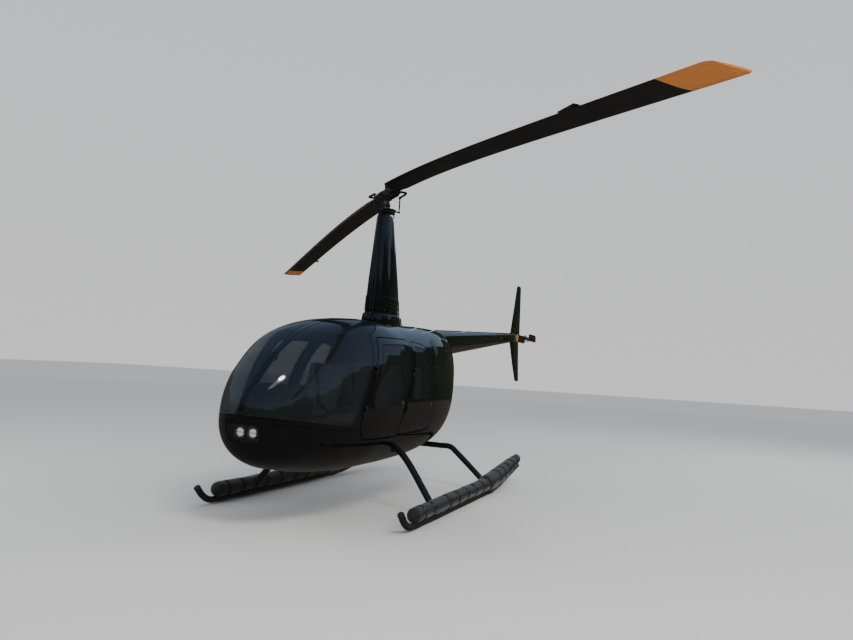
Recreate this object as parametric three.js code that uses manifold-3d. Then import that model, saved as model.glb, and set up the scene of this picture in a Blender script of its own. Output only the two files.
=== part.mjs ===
// A light four-seat helicopter with a two-blade rotor, parked on skids that carry stowed floats.
//
// Millimetres, +X to the nose, +Y to port, +Z up. The origin is on the ground, at the middle of the
// box around the whole machine. Everything is laid out from the main rotor's axis (the mast), and
// the whole group is then moved forward by MAST_X.
import * as THREE from 'three';
import * as BufferGeometryUtils from 'three/addons/utils/BufferGeometryUtils.js';
import Module from 'manifold-3d';

const wasm = await Module();
wasm.setup();

// Driving dimensions
const GAP = 0.3;              // between pieces that rest on each other
const RUNNING = 0.8;          // round a shaft or a sliding ring
const MAST_X = 1412;          // the mast, forward of the origin
const WALL = 40;              // a door or a cabin wall
const GLASS = 8;              // window panes
const DOOR_GAP = 6;           // all round a door
const ROTOR_RADIUS = 5030;
const ROTOR_CHORD = 270;
const ROTOR_AZIMUTH = 43;     // degrees, where the port blade is parked
const ROTOR_DROOP = 390;      // how far a parked blade's tip hangs
const TEETER_Z = 3225;        // the rotor's teetering bolt
const TAIL_RADIUS = 737;
const TAIL_CHORD = 130;
const TAIL_HUB = { x: -5890, y: 222, z: 2020 };
const SKID_Y = 1007;          // half the distance between the skid tubes
const SKID_TUBE = 30;         // radius

// Finishes
const paint = (color, roughness, metalness) => ({ color, roughness, metalness });
const FINISH = {
  body: paint(0x07080a, 0.12, 0.1),
  glass: paint(0x0d1114, 0.05, 0.0),
  blade: paint(0x15130f, 0.45, 0.1),
  frame: paint(0x101113, 0.4, 0.3),
  bag: paint(0x17181a, 0.85, 0.0),
  metal: paint(0x8d9094, 0.35, 0.9),
  engine: paint(0x55585c, 0.55, 0.6),
  lamp: paint(0xe8ecef, 0.1, 0.6),
  white: paint(0xf2f2ee, 0.4, 0.0),
  trim: paint(0x1d1e20, 0.7, 0.0),
  seat: paint(0x3a3835, 0.75, 0.0),
};

const aircraft = new THREE.Group();
aircraft.position.x = MAST_X;

function place(name, finish, geometry) {
  const mesh = new THREE.Mesh(geometry, new THREE.MeshStandardMaterial(FINISH[finish]));
  mesh.name = name;
  aircraft.add(mesh);
  return mesh;
}

// Solids: from a closed geometry to a manifold and back
function solid(geometry) {
  let bare = geometry.clone();
  for (const name of Object.keys(bare.attributes)) {
    if (name !== 'position') bare.deleteAttribute(name);
  }
  bare = BufferGeometryUtils.mergeVertices(bare, 1e-3);
  return new wasm.Manifold(new wasm.Mesh({
    numProp: 3,
    vertProperties: new Float32Array(bare.attributes.position.array),
    triVerts: new Uint32Array(bare.index.array),
  }));
}

function geometryOf(manifold) {
  const mesh = manifold.getMesh();
  const geometry = new THREE.BufferGeometry();
  const points = new Float32Array(mesh.vertProperties);
  geometry.setAttribute('position', new THREE.BufferAttribute(points, 3));
  geometry.setIndex(new THREE.BufferAttribute(new Uint32Array(mesh.triVerts), 1));
  return geometry;
}

const union = (...solids) => solids.reduce((sum, one) => sum.add(one));
const cut = (from, ...tools) => tools.reduce((rest, tool) => rest.subtract(tool), from);

// A closed skin through rings that have the same number of points
function loft(rings) {
  const count = rings[0].length;
  const points = rings.flat();
  const faces = [];
  for (let ring = 0; ring < rings.length - 1; ring += 1) {
    for (let k = 0; k < count; k += 1) {
      const next = (k + 1) % count;
      const a = ring * count;
      const b = a + count;
      faces.push(a + k, a + next, b + next, a + k, b + next, b + k);
    }
  }
  for (const [ring, flip] of [[0, true], [rings.length - 1, false]]) {
    const flat = flatRing(rings[ring]);
    for (const [p, q, r] of THREE.ShapeUtils.triangulateShape(flat, [])) {
      const start = ring * count;
      faces.push(start + p, start + (flip ? r : q), start + (flip ? q : r));
    }
  }
  const geometry = new THREE.BufferGeometry();
  const numbers = points.flatMap((p) => p.toArray());
  geometry.setAttribute('position', new THREE.Float32BufferAttribute(numbers, 3));
  geometry.setIndex(faces);
  return volume(geometry) < 0 ? turnedOut(geometry) : geometry;
}

// A ring as seen along its own normal, so that its end cap can be split into triangles
function flatRing(ring) {
  const normal = new THREE.Vector3();
  ring.forEach((p, k) => normal.add(p.clone().cross(ring[(k + 1) % ring.length])));
  const faceOn = Math.abs(normal.clone().normalize().x) > 0.9;
  const across = faceOn ? new THREE.Vector3(0, 1, 0) : new THREE.Vector3(1, 0, 0);
  const u = new THREE.Vector3().crossVectors(normal, across).normalize();
  const v = new THREE.Vector3().crossVectors(normal, u).normalize();
  return ring.map((p) => new THREE.Vector2(p.dot(u), p.dot(v)));
}

function volume(geometry) {
  const at = geometry.attributes.position;
  const index = geometry.index.array;
  const corner = (k) => new THREE.Vector3().fromBufferAttribute(at, index[k]);
  let sum = 0;
  for (let k = 0; k < index.length; k += 3) sum += corner(k).dot(corner(k + 1).cross(corner(k + 2)));
  return sum / 6;
}

function turnedOut(geometry) {
  const index = geometry.index.array;
  for (let k = 0; k < index.length; k += 3) [index[k + 1], index[k + 2]] = [index[k + 2], index[k + 1]];
  return geometry;
}

// Simple solids at a place
const box = (x0, x1, y0, y1, z0, z1) => solid(
  new THREE.BoxGeometry(x1 - x0, y1 - y0, z1 - z0).translate((x0 + x1) / 2, (y0 + y1) / 2, (z0 + z1) / 2),
);

function rod(from, to, radius, sides = 16, radiusTo = radius) {
  const line = new THREE.Vector3().subVectors(to, from);
  const turn = new THREE.Quaternion();
  turn.setFromUnitVectors(new THREE.Vector3(0, 1, 0), line.clone().normalize());
  const bar = new THREE.CylinderGeometry(radiusTo, radius, line.length(), sides);
  const middle = from.clone().addScaledVector(line, 0.5);
  return solid(bar.applyQuaternion(turn).translate(...middle.toArray()));
}

const vec = (x, y, z) => new THREE.Vector3(x, y, z);

// A round bar along a smooth path
function bar(path, radius, sides, steps) {
  const section = new THREE.Shape(
    Array.from({ length: sides }, (_, k) => {
      const turn = (2 * Math.PI * k) / sides;
      return new THREE.Vector2(radius * Math.cos(turn), radius * Math.sin(turn));
    }),
  );
  return new THREE.ExtrudeGeometry(section, { extrudePath: path, steps });
}

// An outline in the XZ plane: corners are [x, z, radius] anticlockwise, moved out by grow
function outline(corners, grow = 0, steps = 3) {
  const count = corners.length;
  const sides = corners.map(([x, z], k) => {
    const [x2, z2] = corners[(k + 1) % count];
    const along = new THREE.Vector2(x2 - x, z2 - z).normalize();
    const out = new THREE.Vector2(along.y, -along.x);
    return { start: new THREE.Vector2(x, z).addScaledVector(out, grow), along, out };
  });
  const points = [];
  for (let k = 0; k < count; k += 1) {
    const before = sides[(k + count - 1) % count];
    const after = sides[k];
    const apart = new THREE.Vector2().subVectors(after.start, before.start);
    const reach = (apart.x * after.along.y - apart.y * after.along.x) / before.along.cross(after.along);
    const tip = before.start.clone().addScaledVector(before.along, reach);
    const bend = before.along.angleTo(after.along);
    const radius = corners[k][2] ? corners[k][2] + grow : 0;
    const setback = radius * Math.tan(bend / 2);
    if (setback < 1) {
      points.push(tip);
      continue;
    }
    const start = tip.clone().addScaledVector(before.along, -setback);
    const centre = start.addScaledVector(before.out, -radius);
    for (let s = 0; s <= steps; s += 1) {
      const out = before.out.clone().rotateAround(new THREE.Vector2(), (bend * s) / steps);
      points.push(centre.clone().addScaledVector(out, radius));
    }
  }
  return points;
}

// An outline drawn out across the machine from y0 to y1. With a draft it has its drawn size at
// draftFrom, and its edges lean outward by that much for each mm outboard.
function prism(points, y0, y1, draft = 0, draftFrom = 0) {
  const middle = points.reduce((sum, p) => sum.add(p), new THREE.Vector2()).divideScalar(points.length);
  const size = Math.sqrt(Math.abs(THREE.ShapeUtils.area(points))) / 2;
  const ring = (y) => points.map((p) => {
    const scale = 1 + (draft * (Math.abs(y) - draftFrom)) / size;
    return vec(middle.x + (p.x - middle.x) * scale, y, middle.y + (p.y - middle.y) * scale);
  });
  return solid(loft([ring(y0), ring(y1)]));
}

const DOOR_DRAFT = 0.12;
const RIM = { thick: 14, wide: 26 };   // a door's edge is a thin flange, so that it swings clear

// Fuselage sections, nose to tail: x, underside, top, half width, height of the widest point, then
// the fullness above and below that point: 2 is an ellipse, more is squarer
const SECTIONS = [
  [2440, 905, 955, 40, 930, 2.6, 2.1],
  [2425, 802, 1030, 110, 915, 2.6, 2.1],
  [2385, 726, 1088, 188, 900, 2.6, 2.1],
  [2270, 578, 1200, 312, 880, 2.6, 2.05],
  [2110, 508, 1356, 422, 890, 2.6, 2.05],
  [1940, 476, 1486, 500, 910, 2.65, 2.1],
  [1640, 433, 1652, 584, 950, 2.9, 2.25],
  [1250, 409, 1760, 632, 1010, 3.05, 2.45],
  [850, 402, 1812, 645, 1060, 2.9, 2.45],
  [360, 402, 1820, 645, 1090, 2.6, 2.45],
  [-200, 420, 1830, 635, 1110, 2.5, 2.45],
  [-720, 470, 1852, 588, 1150, 2.45, 2.45],
  [-1100, 522, 1860, 500, 1220, 2.45, 2.45],
  [-1380, 555, 1860, 405, 1300, 2.45, 2.45],
  [-1430, 600, 1848, 370, 1310, 2.45, 2.45],
];
const RING_POINTS = 24;
const NOSE_ROWS = 4;          // these stand close enough; further aft each stretch gets a section between
const TAIL_END_X = -1430;

const guide = (columns) => new THREE.CatmullRomCurve3(
  SECTIONS.map((row) => vec(row[0], row[columns[0]], row[columns[1]])), false, 'catmullrom', 0.5,
);
const heights = guide([1, 2]);
const widths = guide([3, 4]);
const fullness = guide([5, 6]);

function sectionAt(t) {
  const { x, y: bottom, z: top } = heights.getPoint(t);
  const { y: half, z: middle } = widths.getPoint(t);
  const { y: above, z: below } = fullness.getPoint(t);
  return { x, bottom, top, half, middle, above, below };
}

function hullPoint(t, angle) {
  const { x, bottom, top, half, middle, above, below } = sectionAt(t);
  const power = 2 / (Math.sin(angle) > 0 ? above : below);
  const round = (value) => Math.sign(value) * Math.abs(value) ** power;
  const up = round(Math.sin(angle));
  return vec(x, half * round(Math.cos(angle)), middle + up * (up > 0 ? top - middle : middle - bottom));
}

// The fuselage's skin, set in by a wall's thickness along its own normals
function hull(inset) {
  const nudge = 0.004;
  const rings = [];
  const last = SECTIONS.length - 1;
  for (let row = 0; row <= last; row += row < NOSE_ROWS || row >= last - 2 ? 1 : 0.5) {
    const t = row / last;
    rings.push(Array.from({ length: RING_POINTS }, (_, k) => {
      const angle = (2 * Math.PI * (k + 0.5)) / RING_POINTS;
      const point = hullPoint(t, angle);
      const along = hullPoint(Math.min(1, t + nudge), angle).sub(hullPoint(Math.max(0, t - nudge), angle));
      const round = hullPoint(t, angle + nudge).sub(hullPoint(t, angle - nudge));
      const normal = along.cross(round).normalize();
      if (normal.y * point.y < 0) normal.negate();
      point.addScaledVector(normal, -inset);
      point.x = Math.max(point.x, TAIL_END_X + inset);
      return point;
    }));
  }
  return solid(loft(rings));
}

// Where the fuselage's side lies at a station and height
function sideAt(x, z) {
  let low = 0;
  let high = 1;
  for (let k = 0; k < 40; k += 1) {
    const middle = (low + high) / 2;
    if (sectionAt(middle).x > x) low = middle; else high = middle;
  }
  const { bottom, top, half, middle, above, below } = sectionAt(low);
  const [share, full] = z > middle
    ? [(z - middle) / (top - middle), above]
    : [(middle - z) / (middle - bottom), below];
  return half * (1 - Math.min(1, share) ** full) ** (1 / full);
}

const skin = hull(0);
const lining = hull(WALL);
const wall = skin.subtract(lining);
const rimRoom = hull(RIM.thick);
const pane = skin.subtract(hull(GLASS));

// Where the panels meet, as lines in the side view
const SILL_Z = 680;
const COWL_TOP_Z = 1620;
const CABIN_END_X = -160;
const AFT_COWL_X = -1060;
const FAR = 3000;
const FAN = { z: 985, radius: 270 };

const belowSill = (lift) => [
  [-FAR, 0], [FAR, 0], [FAR, 942 + lift], [1680, 822 + lift], [1600, SILL_Z + lift], [-FAR, SILL_Z + lift],
].map(([x, z]) => new THREE.Vector2(x, z));
const belly = prism(belowSill(0), -FAR, FAR);
const bellyAndGap = prism(belowSill(GAP), -FAR, FAR);
const slab = (x0, x1, z0, z1) => box(x0, x1, -FAR, FAR, z0, z1);

// Doors and windows: corners are x, z, radius, anticlockwise from the lower aft one
const DOORS = [
  {
    name: 'front',
    hingeY: 600,
    panel: [[856, 735, 50], [1640, 735, 140], [1165, 1640, 90], [368, 1660, 50]],
    window: [[765, 1055, 60], [1425, 985, 70], [1118, 1572, 70], [470, 1598, 50]],
    hinges: [[1509, 985], [1328, 1330]],
  },
  {
    name: 'rear',
    hingeY: 645,
    panel: [[-60, 740, 80], [816, 735, 50], [328, 1660, 50], [-98, 1625, 110]],
    window: [[25, 1075, 70], [573, 1065, 60], [297, 1598, 50], [-18, 1566, 80]],
    hinges: [[684, 985], [502, 1330]],
  },
];
const WINDSCREEN = [
  [2700, 968], [2700, 2200], [845, 2200], [845, 1770], [1235, 1640], [1655, 850], [1700, 852],
];
const DOOR_REACH = [150, 900];  // across the machine, inboard and outboard of any door
const POST = 18;              // half the windscreen's centre post

// A hinge's axis stands outboard of the skin. Its arms reach from clear to arm along the door, and
// from lift above the axis to sunk into the panel. A knuckle is 2 half long.
const HINGE = { outboard: 14, radius: 7, half: 15, arm: 20, sunk: 12, clear: 5, lift: 3 };

// One leaf of a hinge: a knuckle on the axis and an arm down to the panel, forward or aft of it
function leaf(at, axis, from, to, forward) {
  const ahead = new THREE.Vector3().crossVectors(vec(0, 1, 0), axis).normalize();
  if (ahead.x < 0) ahead.negate();
  const out = new THREE.Vector3().crossVectors(axis, ahead).normalize();
  if (out.y < 0) out.negate();
  const ends = [from, to].map((share) => at.clone().addScaledVector(axis, share));
  const knuckle = rod(...ends, HINGE.radius, 8);
  const reach = (HINGE.arm - HINGE.clear) * forward;
  const deep = HINGE.outboard + HINGE.sunk;
  const arm = new THREE.BoxGeometry(Math.abs(reach), deep + HINGE.lift, Math.abs(to - from));
  const turn = new THREE.Matrix4().makeBasis(ahead, out, axis);
  if (turn.determinant() < 0) turn.makeBasis(ahead.clone().negate(), out, axis);
  const centre = at.clone()
    .addScaledVector(ahead, forward * (HINGE.clear + HINGE.arm) / 2)
    .addScaledVector(out, (HINGE.lift - deep) / 2)
    .addScaledVector(axis, (from + to) / 2);
  arm.applyMatrix4(turn).translate(...centre.toArray());
  return union(knuckle, solid(arm));
}

const frameLeaves = [];
const doorCuts = [];
for (const door of DOORS) {
  for (const [side, sign] of [['left', 1], ['right', -1]]) {
    const [low, high] = door.hinges.map(([x, z]) => vec(x, sideAt(x, z) + HINGE.outboard, z));
    const axis = high.clone().sub(low).normalize();
    const leaves = [];
    for (const at of [low, high]) {
      leaves.push(leaf(at, axis, -HINGE.half, HINGE.half, -1));
      for (const end of [-1, 1]) {
        const near = end * (HINGE.half + GAP);
        const far = end * 3 * HINGE.half;
        frameLeaves.push([sign, leaf(at, axis, Math.min(near, far), Math.max(near, far), 1)]);
      }
    }
    const panel = (grow) => prism(
      outline(door.panel, grow), ...DOOR_REACH, DOOR_DRAFT, door.hingeY,
    );
    const window = (grow) => prism(outline(door.window, grow), ...DOOR_REACH);
    const flanged = cut(wall.intersect(panel(0)), rimRoom.subtract(panel(-RIM.wide)));
    const shell = cut(union(flanged, ...leaves), window(0));
    const sheet = pane.intersect(window(-GAP));
    const mirror = (shape) => (sign > 0 ? shape : shape.mirror([0, 1, 0]));
    const hung = place(`door_${door.name}_${side}`, 'body', geometryOf(mirror(shell)));
    hung.userData.hinge = {
      at: [low.x, sign * low.y, low.z],
      opensAbout: [-sign * axis.x, -axis.y, -sign * axis.z],
    };
    place(`window_${door.name}_${side}`, 'glass', geometryOf(mirror(sheet)));
    doorCuts.push(mirror(panel(DOOR_GAP)));
  }
}

// Cabin frame: roof, posts, sills and the windscreen's centre post, with what the doors hang on
const screen = (grow) => prism(outline(WINDSCREEN, grow), POST - grow, DOOR_REACH[1]);
const mirrored = (shape) => shape.mirror([0, 1, 0]);
const cabinZone = cut(slab(CABIN_END_X, FAR, SILL_Z, FAR), bellyAndGap);
const bareFrame = cut(wall.intersect(cabinZone), ...doorCuts, screen(0), mirrored(screen(0)));
const frameSide = frameLeaves.map(([sign, shape]) => (sign > 0 ? shape : mirrored(shape)));
place('cabin_frame', 'body', geometryOf(union(bareFrame, ...frameSide)));
const glassHalf = pane.intersect(screen(-GAP));
place('windscreen_left', 'glass', geometryOf(glassHalf));
place('windscreen_right', 'glass', geometryOf(mirrored(glassHalf)));

// Front cross tube: straight under the floor, then down and out to the skids
const TUBE = 32;
const FRONT_GEAR = { x: 590, foot: 690, z: 600, elbow: 528 };
const REAR_GEAR = { x: -1120, foot: -1105, z: 488, elbow: 500 };
function crossTube({ x, foot, z, elbow }, radius) {
  const port = [
    vec(foot, SKID_Y - 16, 2 * SKID_TUBE + 12),
    vec((x * 3 + foot) / 4, elbow + 112, z - 88),
    vec(x, elbow, z - 6),
    vec(x, elbow - 120, z),
  ];
  const starboard = port.toReversed().map((p) => vec(p.x, -p.y, p.z));
  const path = new THREE.CatmullRomCurve3([...port, ...starboard], false, 'centripetal');
  return solid(bar(path, radius, 10, 22));
}

// Belly and nose shell, with the lamp window in the nose and the exhaust's hole
const LAMPS = { x: 2340, z: 802, apart: 115, radius: 50, depth: 46 };
const lampCorners = [[-1, -1], [1, -1], [1, 1], [-1, 1]].map(([y, z]) => [150 * y, 72 * z, 40]);
const lampWindow = outline(lampCorners);
const lampHole = (grow) => {
  const moved = (value) => value + Math.sign(value) * grow;
  const ring = (x) => lampWindow.map((p) => vec(x, moved(p.x), LAMPS.z + moved(p.y)));
  return solid(loft([ring(LAMPS.x - 190), ring(LAMPS.x + 260)]));
};
const EXHAUST = { x: -930, y: -120, z: 634, radius: 34, muffler: 52, half: 175, mouth: 400 };
const pipeLine = [
  vec(EXHAUST.x, EXHAUST.y, EXHAUST.z),
  vec(EXHAUST.x - 60, EXHAUST.y, EXHAUST.mouth),
];
const pipeHole = rod(pipeLine[0], pipeLine[1].clone().add(vec(-20, 0, -60)), EXHAUST.radius + 8);
const bellyCuts = [crossTube(FRONT_GEAR, TUBE + 1), lampHole(0), pipeHole];
place('belly_shell', 'body', geometryOf(cut(wall.intersect(belly), ...bellyCuts)));
place('lamp_cover', 'glass', geometryOf(pane.intersect(lampHole(-GAP)).intersect(belly)));

// Two round landing lamps on one plate behind the cover
const lampCup = new THREE.LatheGeometry([
  new THREE.Vector2(0, 0), new THREE.Vector2(30, 0), new THREE.Vector2(LAMPS.radius, LAMPS.depth),
  new THREE.Vector2(LAMPS.radius - 4, LAMPS.depth), new THREE.Vector2(26, 8), new THREE.Vector2(0, 6),
], 14).rotateZ(-Math.PI / 2);
const lampAt = (y) => solid(lampCup.clone().translate(LAMPS.x - LAMPS.depth, y, LAMPS.z));
const lampBack = LAMPS.x - LAMPS.depth;
const lampPlate = box(lampBack - 10, lampBack + 3, -300, 300, LAMPS.z - 56, LAMPS.z + 56);
const bracket = lampPlate.intersect(hull(WALL + GAP));
const lamps = union(bracket, lampAt(-LAMPS.apart / 2), lampAt(LAMPS.apart / 2));
place('landing_lamps', 'lamp', geometryOf(lamps));

// Engine cowls
const fanAt = (x) => vec(x, 0, FAN.z);
const fanHole = rod(fanAt(TAIL_END_X - 200), fanAt(TAIL_END_X + 100), FAN.radius, 24);
const aftShell = wall.intersect(cut(slab(-FAR, AFT_COWL_X - GAP, SILL_Z, FAR), bellyAndGap));
place('aft_cowl', 'body', geometryOf(cut(aftShell, fanHole)));
const cowlZone = slab(AFT_COWL_X, CABIN_END_X - GAP, SILL_Z + GAP, COWL_TOP_Z);
const sideCowl = wall.intersect(cowlZone).intersect(box(-FAR, FAR, 0, FAR, 0, FAR));
place('side_cowl_left', 'body', geometryOf(sideCowl));
place('side_cowl_right', 'body', geometryOf(mirrored(sideCowl)));
const topCowl = wall.intersect(slab(AFT_COWL_X, CABIN_END_X - GAP, COWL_TOP_Z + GAP, FAR));
place('top_cowl', 'body', geometryOf(topCowl));

// Cabin floor with the seat boxes, and the firewall behind the rear seats
const FLOOR = { top: 662, thick: 18, front: 2130 };
const FIREWALL = { x: -185, thick: 22 };
const FRONT_BOX = { back: 715, front: 1240, half: 520, top: 815 };   // under the front seats
const REAR_BOX = { back: FIREWALL.x + GAP, front: 330, half: 560, top: 845 };
const room = hull(WALL + GAP);
const floorPlate = box(REAR_BOX.back, FLOOR.front, -FAR, FAR, FLOOR.top - FLOOR.thick, FLOOR.top);
const seatBoxes = [FRONT_BOX, REAR_BOX].map(
  ({ back, front, half, top }) => box(back, front, -half, half, FLOOR.top - 5, top),
);
place('cabin_floor', 'trim', geometryOf(union(floorPlate, ...seatBoxes).intersect(room)));
const firewall = slab(FIREWALL.x - FIREWALL.thick, FIREWALL.x, 0, FAR).intersect(room);
place('firewall', 'trim', geometryOf(firewall));

// Engine, its cooling fan and the muffler
const ENGINE = {
  front: FIREWALL.x - FIREWALL.thick - GAP, back: -1040, half: 330, low: 690, high: 1090,
};
place('engine_block', 'engine', new THREE.BoxGeometry(
  ENGINE.front - ENGINE.back, 2 * ENGINE.half, ENGINE.high - ENGINE.low,
).translate((ENGINE.front + ENGINE.back) / 2, 0, (ENGINE.high + ENGINE.low) / 2));
const fanFront = ENGINE.back - GAP;
const SCROLL = { outer: 262, inner: 240, plate: 24, deep: fanFront - TAIL_END_X - 4 };
const scroll = new THREE.LatheGeometry([
  [0, 0], [SCROLL.outer, 0], [SCROLL.outer, SCROLL.deep],
  [SCROLL.inner, SCROLL.deep], [SCROLL.inner, SCROLL.plate], [0, SCROLL.plate],
].map(([r, x]) => new THREE.Vector2(r, x)), 24).rotateZ(Math.PI / 2).translate(fanFront, 0, FAN.z);
const fanHub = rod(fanAt(fanFront - 10), fanAt(fanFront - 300), 62, 20, 40);
const VANE = { count: 12, long: 150, thick: 6, tall: 190, pitch: 0.5, middle: 146, aft: 200 };
const vanes = Array.from({ length: VANE.count }, (_, k) => {
  const vane = new THREE.BoxGeometry(VANE.long, VANE.thick, VANE.tall).rotateZ(VANE.pitch);
  vane.translate(0, 0, VANE.middle).rotateX((2 * Math.PI * k) / VANE.count);
  return solid(vane.translate(fanFront - VANE.aft, 0, FAN.z));
});
place('cooling_fan', 'metal', geometryOf(union(solid(scroll), fanHub, ...vanes)));
const [mufflerPort, mufflerStarboard] = [1, -1].map(
  (side) => vec(EXHAUST.x, side * EXHAUST.half, EXHAUST.z),
);
const muffler = union(
  rod(mufflerPort, mufflerStarboard, EXHAUST.muffler, 16),
  box(EXHAUST.x - 20, EXHAUST.x + 20, -40, 40, EXHAUST.z, ENGINE.low - GAP),
  rod(...pipeLine, EXHAUST.radius, 16),
);
place('muffler', 'metal', geometryOf(muffler));

// Mast fairing: a streamlined pylon on a collar, trimmed to the roof it stands on
const DROP_POINTS = 20;
const dropRing = ([z, front, back, thick]) => Array.from({ length: DROP_POINTS }, (_, k) => {
  const turn = (2 * Math.PI * k) / DROP_POINTS;
  const x = Math.cos(turn);
  const taper = x > 0 ? 1 : 1 - 0.45 * x * x;
  return vec(x > 0 ? x * front : x * back, (Math.sin(turn) * taper * thick) / 2, z);
});
const PYLON_TOP = 2990;
// Rows are z, how far forward and aft of the mast, and thickness
const PYLON = [[1905, 284, 505, 256], [2300, 246, 402, 222], [PYLON_TOP, 168, 172, 140]];
const COLLAR = [[1700, 322, 640, 340], [1862, 312, 572, 312], [1925, 298, 540, 292]];
const pylon = union(...[PYLON, COLLAR].map((rows) => solid(loft(rows.map(dropRing)))));
const SHAFT = 30;
const MAST_TUBE = { radius: 42, low: 2890, high: 3062 };
const upright = (low, high, radius, sides = 24) => rod(vec(0, 0, low), vec(0, 0, high), radius, sides);
const mastBore = upright(MAST_TUBE.low - GAP, MAST_TUBE.high, MAST_TUBE.radius + GAP);
place('mast_fairing', 'body', geometryOf(cut(pylon, hull(-GAP), mastBore)));

// Mast tube and the swashplate's fixed half
const tube = cut(
  upright(MAST_TUBE.low, MAST_TUBE.high, MAST_TUBE.radius),
  upright(MAST_TUBE.low + 20, MAST_TUBE.high + 10, SHAFT + RUNNING),
);
const SWASH_Z = 3018;
const fixedRing = cut(
  upright(SWASH_Z, SWASH_Z + 18, 96),
  upright(SWASH_Z - 10, SWASH_Z + 40, MAST_TUBE.radius + GAP),
);
const pushRods = [[118, 0], [-104, 46], [-104, -46]].map(([x, y]) => {
  const [near, far] = [x * 0.6, x].sort((a, b) => a - b);
  return union(
    rod(vec(x, y, PYLON_TOP + GAP), vec(x, y, SWASH_Z + 14), 8, 10),
    box(near - 6, far + 6, y * 0.8 - 10, y * 0.8 + 10, SWASH_Z + 2, SWASH_Z + 14),
  );
});
place('mast_tube', 'metal', geometryOf(tube));
place('swashplate_fixed', 'frame', geometryOf(union(fixedRing, ...pushRods)));

// Main rotor: laid out with one blade along +X, then turned to where it is parked
const parked = THREE.MathUtils.degToRad(ROTOR_AZIMUTH);
const toRotor = (manifold) => geometryOf(manifold).rotateZ(parked);
const HUB_TOP = 3332;
const TURNING_Z = SWASH_Z + 24;
const LINK_REACH = 145;
const HORN_DROP = 14;         // a pitch horn's underside below the teetering bolt
const HUB_DROP = 62;          // the hub's boss, below the teetering bolt
const shaft = upright(MAST_TUBE.low + 26, TEETER_Z - HUB_DROP, SHAFT);
const turningRing = cut(
  upright(TURNING_Z, TURNING_Z + 20, 104),
  upright(TURNING_Z - 10, TURNING_Z + 40, MAST_TUBE.radius + RUNNING),
);
const links = [1, -1].map((side) => {
  const [near, far] = [90, LINK_REACH].map((y) => side * y).sort((a, b) => a - b);
  const at = (z) => vec(0, side * LINK_REACH, z);
  return union(
    box(-12, 12, near, far, TURNING_Z + 2, TURNING_Z + 18),
    rod(at(TURNING_Z), at(TEETER_Z - HORN_DROP - GAP), 7, 10),
  );
});
place('rotor_shaft', 'metal', toRotor(shaft));
place('swashplate_turning', 'frame', toRotor(union(turningRing, ...links)));

const PLATE = { reach: 205, inner: 44, outer: 66, low: TEETER_Z - 44, high: TEETER_Z + 36 };
const hubCore = union(
  upright(TEETER_Z - HUB_DROP + GAP, TEETER_Z + 40, 52, 20),
  upright(TEETER_Z + 30, HUB_TOP, 34, 20),
  rod(vec(0, -96, TEETER_Z), vec(0, 96, TEETER_Z), 19, 16),
  box(-PLATE.reach, PLATE.reach, -PLATE.outer, -PLATE.inner, PLATE.low, PLATE.high),
  box(-PLATE.reach, PLATE.reach, PLATE.inner, PLATE.outer, PLATE.low, PLATE.high),
  box(-60, 60, -50, 50, TEETER_Z - 30, TEETER_Z + 24),
);
place('rotor_hub', 'frame', toRotor(hubCore));

const droopAt = (radius) => {
  const share = radius / ROTOR_RADIUS;
  return (ROTOR_DROOP * share * share * (6 - 4 * share + share * share)) / 3;
};
// A symmetric wing section; at() gets the distance ahead of the span line and the height. The
// leading edge is lead chords ahead of that line.
const halfThick = (share) => 5 * (0.2969 * Math.sqrt(share)
  - share * (0.126 + share * (0.3516 - share * (0.2843 - share * 0.1036))));
function wingRing(count, chord, thick, at, lead = 0.25) {
  return Array.from({ length: count }, (_, k) => {
    const turn = (2 * Math.PI * k) / count;
    const share = (1 - Math.cos(turn)) / 2;
    return at((lead - share) * chord, Math.sign(Math.sin(turn)) * halfThick(share) * thick);
  });
}
const BLADE_ROOT = 330;
const BLADE_THICK = 34;
const BLADE_LIFT = 2;         // the blade's middle above the teetering bolt
// Blade stations: share of the span, share of the full chord
const STATIONS = [
  [0, 0.75], [0.03, 1], [0.12, 1], [0.25, 1], [0.4, 1], [0.55, 1], [0.7, 1], [0.85, 1],
  [0.985, 1], [1, 0.9],
];
const bladeRing = ([share, width]) => {
  const radius = BLADE_ROOT + share * (ROTOR_RADIUS - BLADE_ROOT);
  const middle = TEETER_Z - droopAt(radius) + BLADE_LIFT;
  return wingRing(14, ROTOR_CHORD * width, BLADE_THICK, (y, z) => vec(radius, y, middle + z));
};
const grip = union(
  rod(vec(214, 0, TEETER_Z), vec(BLADE_ROOT + 60, 0, TEETER_Z - 1), 24, 14),
  box(150, 232, -40, 40, TEETER_Z - 26, TEETER_Z + 24),
  box(205, 235, 0, LINK_REACH + 10, TEETER_Z - HORN_DROP, TEETER_Z + 8),
);
const TAB = { from: 3800, to: 3980, deep: 35, root: 20, half: 1.5 };
const tabZ = TEETER_Z - droopAt((TAB.from + TAB.to) / 2) + BLADE_LIFT;
const trailing = -0.75 * ROTOR_CHORD;
const trimTab = box(
  TAB.from, TAB.to, trailing - TAB.deep, trailing + TAB.root, tabZ - TAB.half, tabZ + TAB.half,
);
const blade = union(solid(loft(STATIONS.map(bladeRing))), grip, trimTab);
[0, Math.PI].forEach((turn, k) => {
  place(`main_blade_${k + 1}`, 'blade', toRotor(blade).rotateZ(turn));
});

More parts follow.
